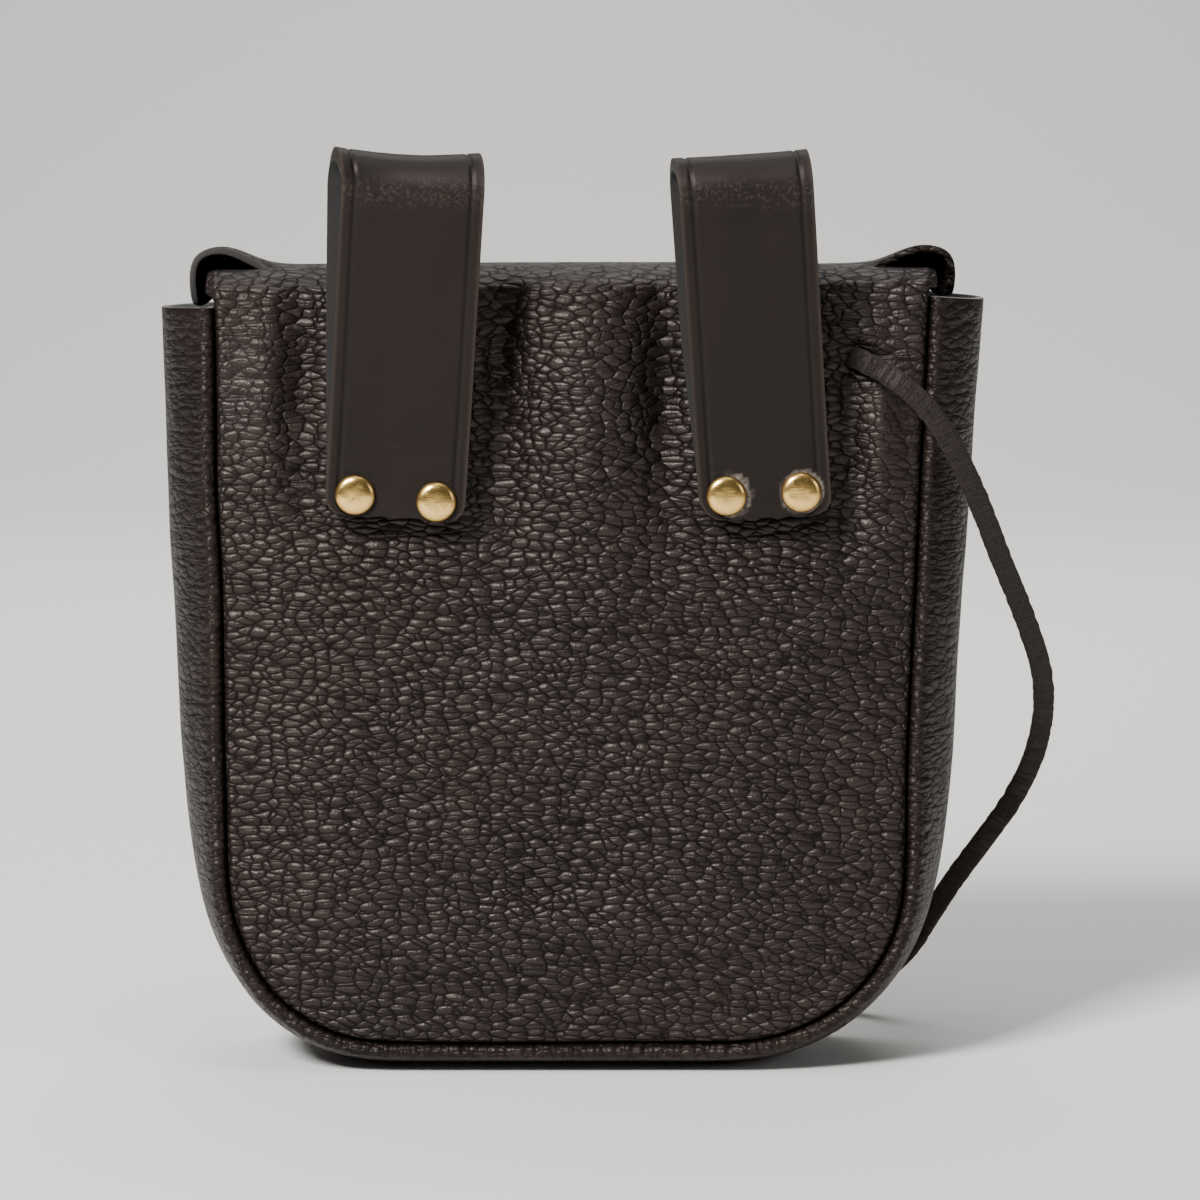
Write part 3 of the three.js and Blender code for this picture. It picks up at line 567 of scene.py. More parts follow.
def leather_copy(node_name, name, seeds, materials):
    """A smooth copy of a leather solid, with a grain side, a flesh side and cut edges. The
    seeds are a point near each of its skins."""
    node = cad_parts[node_name]
    piece = node.copy()
    piece.data = node.data.copy()
    piece.name = name
    for key in list(piece.keys()):
        del piece[key]
    bpy.context.scene.collection.objects.link(piece)
    piece.parent = None
    piece.hide_render = False
    piece.hide_viewport = False
    piece.data.materials.clear()
    for material in materials:
        piece.data.materials.append(material)
    take(piece)
    bpy.ops.object.mode_set(mode="EDIT")
    bpy.ops.mesh.select_mode(type="FACE")
    bpy.ops.mesh.select_all(action="SELECT")
    bpy.ops.mesh.remove_doubles(threshold=0.005 * MM)
    bpy.ops.mesh.tris_convert_to_quads(face_threshold=math.radians(14), shape_threshold=math.radians(80))
    bpy.ops.object.mode_set(mode="OBJECT")
    assign_skins(piece.data, seeds)
    return piece


WARP_SEED = 1  # the vector noise differs on each run without it


def wander(points, reach, scale):
    """A soft uneven push for each point, the same for all pieces at one place. It fades out
    on the floor and where the belt loops sit, so that what touches there still does."""
    noise.seed_set(WARP_SEED)
    rivets = [rivet_place(name) for name in RIVETS]
    out = np.zeros_like(points)
    for i, point in enumerate(points):
        out[i] = noise.noise_vector(Vector(point) / scale) * 0.7
        out[i] += np.array(noise.noise_vector(Vector(point) / (scale * 0.4))) * 0.25
    fade = smooth((points[:, 2] - 1 * MM) / (14 * MM))
    seats = np.zeros(len(points))
    for left, right in ((rivets[0], rivets[1]), (rivets[2], rivets[3])):
        beside = np.abs(points[:, 0] - (left[0] + right[0]) / 2) - 17 * MM
        near = smooth(1 - beside / (9 * MM)) * smooth((points[:, 2] - 108 * MM) / (12 * MM))
        seats = np.maximum(seats, near * (points[:, 1] < MIDDLE_Y))
    return out * (fade * (1 - seats) * reach)[:, None]


# Dents and swells of the back, beyond the frame's own: middle, reach and height in mm.
BACK_FORMS = [
    # across, up, wide, high, out
    (-70, 152, 6, 18, 1.8),
    (-59, 152, 4.5, 26, -3.6),
    (-15.5, 154, 4.5, 30, -4.2),
    (3, 154, 8, 26, 2.6),
    (20.5, 152, 4.5, 28, -4.2),
    (61, 138, 4, 20, -3.2),
    (69, 142, 5, 14, 2.4),
    (65, 158, 4.5, 3.5, -1.6),
    (66, 164.5, 8, 2.2, 1.4),
    (69, 170, 6, 3, -0.8),
    (0, 122, 70, 5, -0.9),
    (-6, 108, 56, 8, 1.0),
    (-58, 110, 12, 10, 0.6),
    (-59, 72, 12, 9, 1.4),
    (-34, 60, 16, 8, -0.6),
    (-20, 88, 26, 7, -0.5),
    (30, 76, 30, 8, 0.5),
    (-6, 43, 7, 4, -1.4),
    (-6, 35, 12, 4, 0.7),
    (34, 46, 18, 10, 0.5),
    (-44, 34, 14, 8, -0.5),
]


# Stretched, calmer leather: middle and reach in mm, amount.
CALM_PLACES = [
    # across, up, wide, high, amount
    (-72, 156, 10, 26, 0.85),
    (70, 150, 9, 24, 0.8),
    (3, 160, 9, 18, 0.35),
    (0, 178, 90, 7, 0.5),
]


def model_back(sizes, materials):
    """The back and flap: a fine copy with the back's own dents and swells."""
    mid = MIDDLE_Y
    outer = (0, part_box("back_panel")[0].y, 90 * MM)
    inner = (0, mid - 18 * MM, 90 * MM)
    piece = leather_copy("back_panel", "back_and_flap", (outer, inner), materials)
    subdivide(piece, 2)
    points = points_of(piece)
    at = points / MM
    shift = wander(points, sizes.warp, 34 * MM)
    on_back = smooth((mid / MM - 6 - at[:, 1]) / 6)
    seam = smooth((76 - np.abs(at[:, 0])) / 12) * smooth((at[:, 2] - 10) / 14)
    for across, up, wide, high, out in BACK_FORMS:
        bell = np.exp(-(((at[:, 0] - across) / wide) ** 2) - ((at[:, 2] - up) / high) ** 2)
        shift[:, 1] -= bell * out * MM * on_back * seam
    set_points(piece, points + shift)
    calm = np.zeros(len(points))
    for across, up, wide, high, amount in CALM_PLACES:
        bell = np.exp(-(((at[:, 0] - across) / wide) ** 2) - ((at[:, 2] - up) / high) ** 2)
        calm = np.maximum(calm, bell * amount)
    set_attribute(piece, "calm", calm)
    return piece


def model_front(sizes, materials):
    """The front under the flap."""
    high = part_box("front_panel")[1].y
    seeds = ((0, high, 60 * MM), (0, high - 3 * MM, 60 * MM))
    piece = leather_copy("front_panel", "front", seeds, materials)
    subdivide(piece, 2)
    points = points_of(piece)
    set_points(piece, points + wander(points, sizes.warp, 34 * MM))
    return piece


CORNER_ACROSS = 43 * MM
CORNER_UP = 46 * MM


def seam_length(points):
    """How far along the seam each point lies, from the foot of the straight side."""
    across = np.abs(points[:, 0])
    up = points[:, 2]
    reach = 36 * MM
    angle = np.arctan2(CORNER_UP - up, np.maximum(across - CORNER_ACROSS, 1e-6))
    bottom = -reach * math.pi / 2 - (CORNER_ACROSS - across)
    corner = np.where(across > CORNER_ACROSS, -reach * angle, bottom)
    along = np.where(up > CORNER_UP, up - CORNER_UP, corner)
    return along + np.where(points[:, 0] > 0, 0.5, 0)


def add_rings(piece, along, roll):
    """Divides the roll beside the back across, finely enough for its creases."""
    shape = bmesh.new()
    shape.from_mesh(piece.data)
    shape.verts.ensure_lookup_table()
    cut = []
    for edge in shape.edges:
        a, b = (vertex.index for vertex in edge.verts)
        if min(roll[a], roll[b]) < 0.15 or edge.verts[0].co.y > MIDDLE_Y:
            continue
        if abs(along[a] - along[b]) > 0.8 * edge.calc_length():
            cut.append(edge)
    bmesh.ops.subdivide_edges(shape, edges=cut, cuts=RING_CUTS, use_grid_fill=True)
    shape.to_mesh(piece.data)
    shape.free()


def puff(points, normals, along, step):
    """Pushes the roll out into small uneven puffs with a pinched crease between each two."""
    shift = np.zeros_like(points)
    for i, (point, walked) in enumerate(zip(points, along)):
        drift = noise.noise(Vector((walked / (5 * MM), point[1] / (3 * MM), 0)))
        swell = abs(math.sin(math.pi * (walked / step + drift * 0.9))) ** 0.6
        depth = 0.6 + 0.4 * noise.noise(Vector((walked / (7 * MM), 4, 0)))
        shift[i] = normals[i] * (swell - 0.75) * depth
    return shift


RING_CUTS = 5
PUFF = 0.55 * MM


def model_gusset(sizes, materials):
    """The gusset: its wall is calmer than its rolls, which are puffed between cross creases."""
    outer = (GUSSET_HIGH.x, MIDDLE_Y, 100 * MM)
    inner = (GUSSET_HIGH.x - 1.6 * MM, MIDDLE_Y, 100 * MM)
    piece = leather_copy("gusset", "gusset_strip", (outer, inner), materials)
    subdivide(piece, 2)
    depth = (GUSSET_HIGH.y - GUSSET_LOW.y) / 2

    def roll_mask(points):
        return smooth((np.abs(points[:, 1] - MIDDLE_Y) - (depth - 7 * MM)) / (3 * MM))

    points = points_of(piece)
    add_rings(piece, seam_length(points), roll_mask(points))
    points = points_of(piece)
    along = seam_length(points)
    roll = roll_mask(points)
    normals = np.array([tuple(vertex.normal) for vertex in piece.data.vertices])
    near = roll * (points[:, 1] < MIDDLE_Y) * smooth((points[:, 2] - 1 * MM) / (5 * MM))
    puffs = puff(points, normals, along, sizes.wrinkle_step) * (near * PUFF)[:, None]
    set_attribute(piece, "along", along)
    set_attribute(piece, "roll", roll)
    set_attribute(piece, "calm", 0.85 - roll * 0.1)
    set_points(piece, points + puffs + wander(points, sizes.warp, 34 * MM))
    return piece


# Operators


class POUCH_OT_stage(bpy.types.Operator):
    """Add the floor, the lights and the camera"""

    bl_idname = "pouch.stage"
    bl_label = "Stage"

    def execute(self, context):
        target = Vector((6.2 * MM, MIDDLE_Y - 24 * MM, 106.1 * MM))
        distance = 925 * MM
        tilt = math.radians(6)
        back = Vector((0, -math.cos(tilt), math.sin(tilt)))
        deselect()
        bpy.ops.object.camera_add(
            location=target + back * distance, rotation=(math.pi / 2 - tilt, 0, 0)
        )
        camera = context.object
        camera.name = "camera"
        camera.data.angle = 2 * math.atan(600 / 4209)
        context.scene.camera = camera
        self.add_floor()
        self.add_light("key", (-0.6, -0.95, 0.95), 0.34, 38)
        self.add_light("fill", (0.95, -0.75, 0.5), 0.4, 2)
        self.add_light("top", (0.1, -0.25, 1.3), 0.5, 4)
        self.add_light("wall", (0, 0.9, 1.4), 1.2, 30, Vector((0, 2, 0.1)))
        world = context.scene.world or bpy.data.worlds.new("World")
        context.scene.world = world
        world.use_nodes = True
        world.node_tree.nodes["Background"].inputs["Color"].default_value = linear("#e8e8ea")
        world.node_tree.nodes["Background"].inputs["Strength"].default_value = 0.1
        return {"FINISHED"}

    def add_floor(self):
        """A sheet of paper that sweeps up behind."""
        bpy.ops.mesh.primitive_plane_add(size=6, location=(0, 0, 0))
        floor = bpy.context.object
        floor.name = "paper_sweep"
        bpy.ops.object.mode_set(mode="EDIT")
        bpy.ops.mesh.select_mode(type="EDGE")
        bpy.ops.mesh.select_all(action="DESELECT")
        bpy.ops.object.mode_set(mode="OBJECT")
        for edge in floor.data.edges:
            ends = [floor.data.vertices[i].co.y for i in edge.vertices]
            edge.select = min(ends) > 2.9
        bpy.ops.object.mode_set(mode="EDIT")
        bpy.ops.mesh.extrude_region_move(TRANSFORM_OT_translate={"value": (0, 0, 4)})
        bpy.ops.mesh.select_all(action="SELECT")
        bpy.ops.mesh.edges_select_sharp(sharpness=1.0)
        bpy.ops.object.mode_set(mode="OBJECT")
        add_modifier(floor, "BEVEL", width=1.5, segments=16, limit_method="ANGLE")
        floor.data.materials.append(paper_floor())
        take(floor)
        bpy.ops.object.shade_smooth()

    def add_light(self, name, place, size, power, target=Vector((0, 0, 0.1))):
        """A square soft box that looks at the middle of the pouch, or at a target."""
        aim = target - Vector(place)
        bpy.ops.object.light_add(
            type="AREA", location=place, rotation=aim.to_track_quat("-Z", "Y").to_euler()
        )
        light = bpy.context.object
        light.name = name
        light.data.size = size
        light.data.energy = power


# The lace's middle line in mm, y from the gusset's middle plane: from the slit in the back,
# round the right side and down to the floor behind the bag.
LACE_ROUTE = [
    (57.4, -13.8, 161.6),
    (60.6, -17.4, 160.0),
    (64.2, -21.3, 158.2),
    (68.0, -24.8, 156.3),
    (72.2, -26.9, 153.4),
    (77.0, -27.4, 149.0),
    (82.3, -25.9, 141.6),
    (87.2, -22.0, 132.6),
    (91.4, -16.2, 123.6),
    (95.4, -9.2, 114.4),
    (99.7, -1.6, 105.2),
    (103.8, 5.0, 95.6),
    (107.0, 10.4, 86.2),
    (108.0, 15.2, 76.0),
    (106.4, 19.6, 65.4),
    (102.0, 23.8, 54.6),
    (96.0, 27.6, 44.8),
    (89.4, 30.8, 34.8),
    (83.4, 33.6, 24.6),
    (78.0, 37.0, 15.0),
    (71.8, 41.0, 7.4),
    (63.6, 45.2, 2.9),
    (54.0, 48.6, 1.5),
    (44.0, 51.0, 1.5),
]
LACE_WIDTH = 5 * MM
LACE_THICKNESS = 2.5 * MM
LAY_START = 0.7  # share of the route where the lace starts to turn over
LAY_END = 0.9
STEPS_A_POINT = 16
SIDES = 24


def route_points(route):
    """Points of a smooth curve through the route's points, each with its share of the route."""
    route = [Vector(point) * MM + Vector((0, MIDDLE_Y, 0)) for point in route]
    ends = [2 * route[0] - route[1]] + route + [2 * route[-1] - route[-2]]
    found = []
    for i in range(len(route) - 1):
        p = ends[i : i + 4]
        t = [0.0]
        for before, after in zip(p, p[1:]):
            t.append(t[-1] + math.sqrt((after - before).length))
        for step in range(STEPS_A_POINT):
            now = t[1] + (t[2] - t[1]) * step / STEPS_A_POINT
            near = [p[k].lerp(p[k + 1], (now - t[k]) / (t[k + 1] - t[k])) for k in range(3)]
            wide = [near[k].lerp(near[k + 1], (now - t[k]) / (t[k + 2] - t[k])) for k in range(2)]
            place = wide[0].lerp(wide[1], (now - t[1]) / (t[2] - t[1]))
            found.append((place, (i + step / STEPS_A_POINT) / (len(route) - 1)))
    found.append((route[-1], 1.0))
    return found


def ring_mesh(name, rings, loop=False):
    """A tube through rings of points, closed by a cap at each end or into a loop."""
    count = len(rings[0])
    faces = []
    for r in range(len(rings) - (0 if loop else 1)):
        here = r * count
        there = (r + 1) % len(rings) * count
        for k in range(count):
            after = (k + 1) % count
            faces.append((here + k, here + after, there + after, there + k))
    if not loop:
        faces.append(tuple(range(count)))
        faces.append(tuple(range((len(rings) - 1) * count, len(rings) * count)))
    mesh = bpy.data.meshes.new(name)
    mesh.from_pydata([tuple(point) for ring in rings for point in ring], [], faces)
    piece = bpy.data.objects.new(name, mesh)
    bpy.context.scene.collection.objects.link(piece)
    take(piece)
    bpy.ops.object.mode_set(mode="EDIT")
    bpy.ops.mesh.select_all(action="SELECT")
    bpy.ops.mesh.normals_make_consistent(inside=False)
    bpy.ops.object.mode_set(mode="OBJECT")
    return piece


class POUCH_OT_lace(bpy.types.Operator):
    """Lay the lace along its route, with the knot that holds it inside the back"""

    bl_idname = "pouch.lace"
    bl_label = "Lace and Knot"

    def execute(self, context):
        thong = lace_leather()
        knot = self.tie_knot(thong)
        stops = route_points(LACE_ROUTE)
        rings = []
        along = []
        length = 0
        for i, (place, share) in enumerate(stops):
            if i > 0:
                length += (place - stops[i - 1][0]).length
            after = stops[min(i + 1, len(stops) - 1)][0]
            before = stops[max(i - 1, 0)][0]
            rings.append(self.section(place, (after - before).normalized(), share, length))
            along += [length] * SIDES
        lace = ring_mesh("lace_thong", rings)
        edge = [abs(math.cos(2 * math.pi * k / SIDES)) ** 3 for k in range(SIDES)] * len(rings)
        set_attribute(lace, "along", along)
        set_attribute(lace, "edge", edge)
        finish_piece(lace, ["lace"], "lace_leather", thong)
        return {"FINISHED"}

    def section(self, place, along, share, length):
        """One ring of the thong: flat, with round edges that waver as hand-cut ones do."""
        laid = float(smooth((share - LAY_START) / (LAY_END - LAY_START))) * math.pi / 2
        across = Vector((0, -math.cos(laid), math.sin(laid))).cross(along).normalized()
        out = across.cross(along).normalized()
        ring = []
        for k in range(SIDES):
            angle = 2 * math.pi * k / SIDES
            flat = math.copysign(abs(math.cos(angle)) ** 0.55, math.cos(angle)) * LACE_WIDTH / 2
            thick = math.copysign(abs(math.sin(angle)) ** 0.55, math.sin(angle)) * LACE_THICKNESS / 2
            side = 7 if flat > 0 else -7
            waver = noise.noise(Vector((length / (2.2 * MM), side, 0))) * 0.22 * MM
            nick = noise.noise(Vector((length / (0.7 * MM), side, 3))) * 0.1 * MM
            flat *= 1 + (waver + nick) / (LACE_WIDTH / 2) - 0.04
            thick *= 0.94 + 0.1 * noise.noise(Vector((length / (1.4 * MM), flat / MM / 2, 5)))
            ring.append(place + across * flat + out * thick)
        return ring

    def tie_knot(self, thong):
        """A pulled-tight overhand knot."""
        low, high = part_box("lace_knot")
        middle = (low + high) / 2
        reach = (high.x - low.x) / 2
        cord = reach * 0.4
        scale = (reach - cord) / 3.2
        steps = 120
        curve = []
        for i in range(steps):
            t = 2 * math.pi * i / steps
            bend = Vector((math.sin(t) + 2 * math.sin(2 * t), -math.sin(3 * t) * 1.3, 0))
            bend.z = math.cos(t) - 2 * math.cos(2 * t)
            curve.append(middle + bend * scale)
        rings = []
        for i, place in enumerate(curve):
            along = (curve[(i + 1) % steps] - curve[i - 1]).normalized()
            side = along.cross((place - middle).normalized()).normalized()
            out = side.cross(along)
            turns = [2 * math.pi * k / 12 for k in range(12)]
            rings.append([place + side * math.cos(a) * cord + out * math.sin(a) * cord * 0.8 for a in turns])
        knot = ring_mesh("lace_knot_tied", rings, loop=True)
        steps_along = np.repeat(np.arange(steps) / steps * 60 * MM, 12)
        set_attribute(knot, "along", steps_along)
        set_attribute(knot, "edge", np.zeros(steps * 12))
        finish_piece(knot, ["lace_knot"], "lace_leather", thong)
        return knot


class POUCH_OT_back(bpy.types.Operator):
    """Finish the back, with the fold and the flap that go on from it"""

    bl_idname = "pouch.back"
    bl_label = "Back and Flap"

    def execute(self, context):
        sizes, colours = context.scene.pouch_sizes, context.scene.pouch_colours
        skins = [pebbled_leather(sizes, colours, False), flesh_leather(colours), cut_edge(colours)]
        piece = model_back(sizes, skins)
        finish_piece(piece, ["back_panel"], "bag_leather")
        return {"FINISHED"}


class POUCH_OT_front(bpy.types.Operator):
    """Finish the front under the flap"""

    bl_idname = "pouch.front"
    bl_label = "Front"

    def execute(self, context):
        sizes, colours = context.scene.pouch_sizes, context.scene.pouch_colours
        skins = [pebbled_leather(sizes, colours, False), flesh_leather(colours), cut_edge(colours)]
        piece = model_front(sizes, skins)
        finish_piece(piece, ["front_panel"], "bag_leather")
        return {"FINISHED"}


class POUCH_OT_gusset(bpy.types.Operator):
    """Finish the gusset and its rolls"""

    bl_idname = "pouch.gusset"
    bl_label = "Gusset"

    def execute(self, context):
        sizes, colours = context.scene.pouch_sizes, context.scene.pouch_colours
        skins = [pebbled_leather(sizes, colours, True), flesh_leather(colours), cut_edge(colours)]
        piece = model_gusset(sizes, skins)
        finish_piece(piece, ["gusset"], "bag_leather")
        return {"FINISHED"}


STRAP = 2.8 * MM
STRAP_GAP = 0.3 * MM
STRAP_END = 124.6 * MM
STRAP_TOP = 203.5 * MM
LOOP_BOW = 9 * MM
BOW_START = 10 * MM
CAP_HEIGHT = 1.5 * MM

# Belt loops in mm and degrees: node, middle at the rivets, width, lean of the near and the
# far half, sideways shift of the far half, radius of the two corners at the near end.
LOOPS = [
    ("belt_loop_left", -38.4, 30.6, 3.9, 0.9, -0.4, (3.8, 4.0)),
    ("belt_loop_right", 42.2, 28.8, -3.9, -4.2, -1.4, (5.6, 3.8)),
]
# Distances of the columns of a strap from its edge, in mm, up to the even middle ones.
EDGE_COLUMNS = [0, 0.4, 0.9, 1.4, 1.8, 2.1, 2.4, 2.7, 3.0, 3.3, 3.7, 4.3, 5.2, 6.4]
MIDDLE_COLUMNS = 14
ROW_STEP = 0.9 * MM


def loop_line(node_name, middle, near_lean, far_lean, far_shift):
    """The middle line of a doubled strap, evenly stepped, with its lean at each step."""
    rivet_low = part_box("rivet_1")[0].y
    near = rivet_low + CAP_HEIGHT + STRAP_GAP + STRAP / 2
    far = near + STRAP + STRAP_GAP
    bow = far - STRAP - LOOP_BOW
    rivet_line = sum(rivet_place(name)[1] for name in RIVETS) / len(RIVETS)
    radius = (far - bow) / 2
    arc = STRAP_TOP - STRAP / 2 - radius
    foot = rivet_line + BOW_START
    line = [(near, z, 0.0) for z in np.linspace(STRAP_END, foot, 30, endpoint=False)]
    for share in np.linspace(0, 1, 60, endpoint=False):
        depth = near + (bow - near) * float(smooth(share))
        line.append((depth, foot + (arc - foot) * share, 0.0))
    for share in np.linspace(0, 1, 40, endpoint=False):
        angle = math.pi * share
        place = (far + bow) / 2 - radius * math.cos(angle)
        line.append((place, arc + radius * math.sin(angle), float(smooth(share))))
    line += [(far, z, 1.0) for z in np.linspace(arc, STRAP_END, 60)]
    points = []
    leans = []
    for depth, up, turned in line:
        lean = math.radians(near_lean + (far_lean - near_lean) * turned)
        above = up - rivet_line
        shift = turned * far_shift * MM * float(smooth(above / (40 * MM)))
        points.append((middle * MM + math.tan(lean) * above + shift, depth, up))
        leans.append(lean)
    points = np.array(points)
    walked = np.concatenate([[0], np.cumsum(np.linalg.norm(np.diff(points, axis=0), axis=1))])
    return points, np.array(leans), walked


def strap_rows(total, corner):
    """Places of the rows along a strap, closer together in its rounded ends."""
    ends = [corner * (1 - math.cos(a)) for a in np.linspace(0, math.pi / 2, 8)]
    count = int((total - 2 * corner) / ROW_STEP)
    inner = list(np.linspace(corner, total - corner, count)[1:-1])
    return ends + inner + [total - d for d in reversed(ends)]


def narrowing(from_end, corner):
    """How much narrower a strap is on one side, near an end with a round corner."""
    short = max(corner - from_end, 0)
    return corner - math.sqrt(max(corner * corner - short * short, 0))


def model_loop(sizes, materials, row):
    """One belt loop: a grid laid along the folded strap, thickened and bevelled."""
    node_name, middle, width, near_lean, far_lean, far_shift, corners = row
    points, leans, walked = loop_line(node_name, middle, near_lean, far_lean, far_shift)
    total = walked[-1]
    rows = strap_rows(total, 3 * MM)
    inner = list(np.linspace(EDGE_COLUMNS[-1], width - EDGE_COLUMNS[-1], MIDDLE_COLUMNS)[1:-1])
    columns = EDGE_COLUMNS + inner + [width - d for d in reversed(EDGE_COLUMNS)]
    deselect()
    bpy.ops.mesh.primitive_grid_add(x_subdivisions=len(columns) - 1, y_subdivisions=len(rows) - 1)
    strap = bpy.context.object
    strap.name = node_name + "_strap"
    places = []
    along = []
    from_edge = []
    for at in rows:
        place = np.array([np.interp(at, walked, points[:, k]) for k in range(3)])
        ahead = np.array([np.interp(min(at + 0.4 * MM, total), walked, points[:, k]) for k in range(3)])
        behind = np.array([np.interp(max(at - 0.4 * MM, 0), walked, points[:, k]) for k in range(3)])
        lean = np.interp(at, walked, leans)
        direction = Vector(ahead - behind).normalized()
        across = Vector((math.cos(lean), 0, -math.sin(lean)))
        out = across.cross(direction).normalized()
        across = direction.cross(out)
        from_end = min(at, total - at)
        left = width / 2 * MM - narrowing(from_end, corners[0] * MM)
        right = width / 2 * MM - narrowing(from_end, corners[1] * MM)
        for column in columns:
            share = column / width
            sideways = -left + (left + right) * share
            ripple = noise.noise(Vector((sideways / (9 * MM), middle, at / (60 * MM))))
            fade = float(smooth((from_end - 2 * MM) / (10 * MM))) if at < total / 2 else 0
            wave = 0.4 * MM * noise.noise(Vector((sideways / (6 * MM), at > total / 2, middle)))
            wave *= float(smooth(1 - from_end / (8 * MM)))
            flat = Vector(place) + across * sideways + direction * wave
            beyond = float(smooth((at - 22 * MM) / (16 * MM)))
            flat += out * ripple * 0.28 * MM * fade * beyond
            places.append(flat + out * STRAP / 2)
            along.append(at)
            from_edge.append(min(column, width - column) * MM)
    set_points(strap, np.array(places))
    set_attribute(strap, "along", along)
    set_attribute(strap, "inset", from_edge)
    take(strap)
    bpy.ops.object.mode_set(mode="EDIT")
    bpy.ops.mesh.select_all(action="SELECT")
    bpy.ops.object.mode_set(mode="OBJECT")
    first = strap.data.polygons[len(strap.data.polygons) // 8]
    if first.normal.y > 0:
        bpy.ops.object.mode_set(mode="EDIT")
        bpy.ops.mesh.flip_normals()
        bpy.ops.object.mode_set(mode="OBJECT")
    grain_points = len(strap.data.vertices)
    for material in materials:
        strap.data.materials.append(material)
    add_modifier(strap, "SOLIDIFY", thickness=STRAP, offset=-1, material_offset=1, material_offset_rim=2)
    set_attribute(strap, "grain_side", (np.arange(len(strap.data.vertices)) < grain_points) * 1.0)
    add_modifier(strap, "BEVEL", width=0.55 * MM, segments=3, limit_method="ANGLE", angle_limit=1.0)
    carve_crease(strap, sizes)
    return strap


def read_attribute(piece, name):
    """The numbers of a point attribute."""
    values = np.zeros(len(piece.data.vertices))
    piece.data.attributes[name].data.foreach_get("value", values)
    return values


def carve_crease(strap, sizes):
    """Presses the edge crease into the grain side and marks it, its lip and the scrapes."""
    inset = read_attribute(strap, "inset")
    grain = smooth(read_attribute(strap, "grain_side") * 2 - 1)
    points = points_of(strap)
    normals = np.array([tuple(vertex.normal) for vertex in strap.data.vertices])
    groove = np.exp(-(((inset - sizes.groove_inset) / (0.34 * MM)) ** 2)) * grain
    lip = smooth(1 - inset / (0.9 * MM)) * grain
    points -= normals * (groove * sizes.groove_depth)[:, None]
    set_points(strap, points)
    set_attribute(strap, "groove", groove)
    set_attribute(strap, "lip", lip)
    scrape = np.zeros(len(points))
    for name, side in (("rivet_3", 1), ("rivet_4", 0)):
        x, z, low, high = rivet_place(name)
        away = np.hypot(points[:, 0] - x, points[:, 2] - z)
        turned = (points[:, 0] - x) / np.maximum(away, 1e-6)
        reach = 4.4 * MM + (1.1 if side else 0.8) * MM * (0.6 + 0.4 * turned)
        ring = smooth((reach - away) / (0.5 * MM)) * (smooth(turned * 2 + 0.4) if side else 1)
        scrape = np.maximum(scrape, ring * (points[:, 1] < low + 5 * MM))
    set_attribute(strap, "scrape", scrape * grain)


class POUCH_OT_belt_loops(bpy.types.Operator):
    """Add the two belt loops of doubled strap leather"""

    bl_idname = "pouch.belt_loops"
    bl_label = "Belt Loops"

    def execute(self, context):
        sizes, colours = context.scene.pouch_sizes, context.scene.pouch_colours
        grain_side = strap_leather(colours)
        skins = [grain_side, flesh_leather(colours), grain_side]
        for row in LOOPS:
            strap = model_loop(sizes, skins, row)
            finish_piece(strap, [row[0]], "strap_leather")
        return {"FINISHED"}


CAP_RADIUS = 4.4 * MM
CAP_SIDES = 56
# The outer cap of a rivet from its crown to its rim: radius as a share of the cap's, and
# height as a share of the cap's.
CAP_PROFILE = [
    (0.15, 1.0),
    (0.32, 0.99),
    (0.48, 0.965),
    (0.61, 0.925),
    (0.72, 0.865),
    (0.81, 0.78),
    (0.88, 0.67),
    (0.93, 0.55),
    (0.965, 0.42),
    (0.99, 0.28),
    (1.0, 0.14),
    (0.985, 0.05),
    (0.95, 0.0),
]


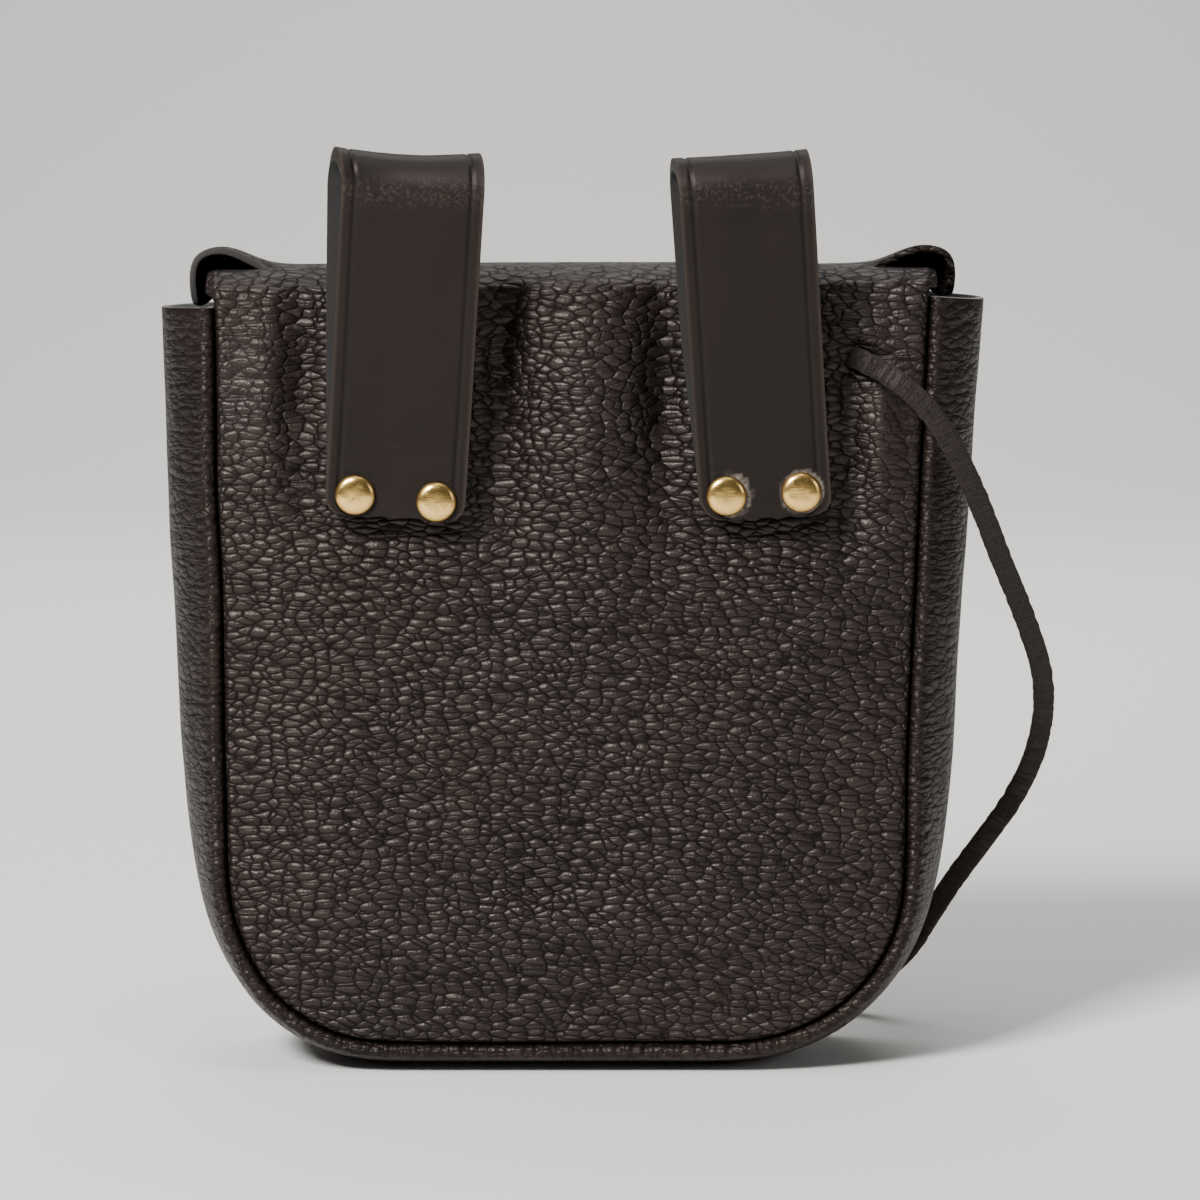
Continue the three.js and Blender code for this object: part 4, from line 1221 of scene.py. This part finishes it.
def model_rivet(name, materials):
    """One double-cap rivet: a disc extruded ring by ring from the crown down to the post and
    on to the flat inner cap."""
    x, z, low, high = rivet_place(name)
    rings = [(r * CAP_RADIUS, low + CAP_HEIGHT * (1 - h)) for r, h in CAP_PROFILE]
    post = 1.6 * MM
    inner = high - CAP_HEIGHT * 0.7
    rings += [(post, low + CAP_HEIGHT), (post, inner)]
    rings += [(r * CAP_RADIUS, inner) for r in (0.5, 0.8, 0.88)]
    rings += [(0.9 * CAP_RADIUS, inner + 0.2 * MM), (0.88 * CAP_RADIUS, inner + 0.5 * MM)]
    rings += [(0.6 * CAP_RADIUS, high - 0.15 * MM), (0.25 * CAP_RADIUS, high - 0.02 * MM)]
    deselect()
    radius, depth = rings[0]
    bpy.ops.mesh.primitive_circle_add(
        vertices=CAP_SIDES,
        radius=radius,
        fill_type="TRIFAN",
        location=(x, depth, z),
        rotation=(math.pi / 2, 0, 0),
    )
    rivet = bpy.context.object
    rivet.name = name + "_brass"
    bpy.ops.object.transform_apply(location=True, rotation=True, scale=True)
    bpy.ops.object.mode_set(mode="EDIT")
    bpy.ops.mesh.select_mode(type="EDGE")
    bpy.ops.mesh.select_all(action="SELECT")
    bpy.ops.mesh.region_to_loop()
    for wide, at in rings[1:]:
        bpy.ops.mesh.extrude_region_move(TRANSFORM_OT_translate={"value": (0, at - depth, 0)})
        scale = wide / radius
        bpy.ops.transform.resize(value=(scale, 1, scale), center_override=(x, at, z))
        radius, depth = wide, at
    bpy.ops.mesh.edge_face_add()
    bpy.ops.mesh.poke()
    bpy.ops.mesh.select_all(action="SELECT")
    bpy.ops.mesh.normals_make_consistent(inside=False)
    bpy.ops.object.mode_set(mode="OBJECT")
    points = points_of(rivet)
    away = np.hypot(points[:, 0] - x, points[:, 2] - z) / CAP_RADIUS
    dents = np.array([noise.noise(Vector(p) / (1.6 * MM)) for p in points])
    points[:, 1] += dents * 0.035 * MM * (points[:, 1] < low + CAP_HEIGHT * 0.95)
    set_points(rivet, points)
    set_attribute(rivet, "rim", smooth((away - 0.74) / 0.24))
    for material in materials:
        rivet.data.materials.append(material)
    return rivet


class POUCH_OT_rivets(bpy.types.Operator):
    """Add the four brass rivets of the belt loops"""

    bl_idname = "pouch.rivets"
    bl_label = "Rivets"

    def execute(self, context):
        brass = rivet_brass(context.scene.pouch_colours)
        for name in RIVETS:
            finish_piece(model_rivet(name, [brass]), [name], "rivet_brass")
        return {"FINISHED"}


STEPS = ("stage", "lace", "back", "front", "gusset", "belt_loops", "rivets")


class POUCH_PT_panel(bpy.types.Panel):
    """The pouch's pieces, sizes and colours"""

    bl_label = "Belt Pouch"
    bl_idname = "POUCH_PT_panel"
    bl_space_type = "VIEW_3D"
    bl_region_type = "UI"
    bl_category = "Pouch"

    def draw(self, context):
        for step in STEPS:
            self.layout.operator("pouch." + step)
        for settings in (context.scene.pouch_sizes, context.scene.pouch_colours):
            for key in settings.__annotations__:
                self.layout.prop(settings, key)


CLASSES = (
    PouchSizes,
    PouchColours,
    POUCH_OT_stage,
    POUCH_OT_lace,
    POUCH_OT_back,
    POUCH_OT_front,
    POUCH_OT_gusset,
    POUCH_OT_belt_loops,
    POUCH_OT_rivets,
    POUCH_PT_panel,
)


def register():
    for part in CLASSES:
        bpy.utils.register_class(part)
    bpy.types.Scene.pouch_sizes = PointerProperty(type=PouchSizes)
    bpy.types.Scene.pouch_colours = PointerProperty(type=PouchColours)


def unregister():
    del bpy.types.Scene.pouch_colours
    del bpy.types.Scene.pouch_sizes
    for part in reversed(CLASSES):
        bpy.utils.unregister_class(part)


def main():
    """Builds the whole pouch."""
    register()
    for step in STEPS:
        getattr(bpy.ops.pouch, step)()
    deselect()


if __name__ == "__main__":
    main()
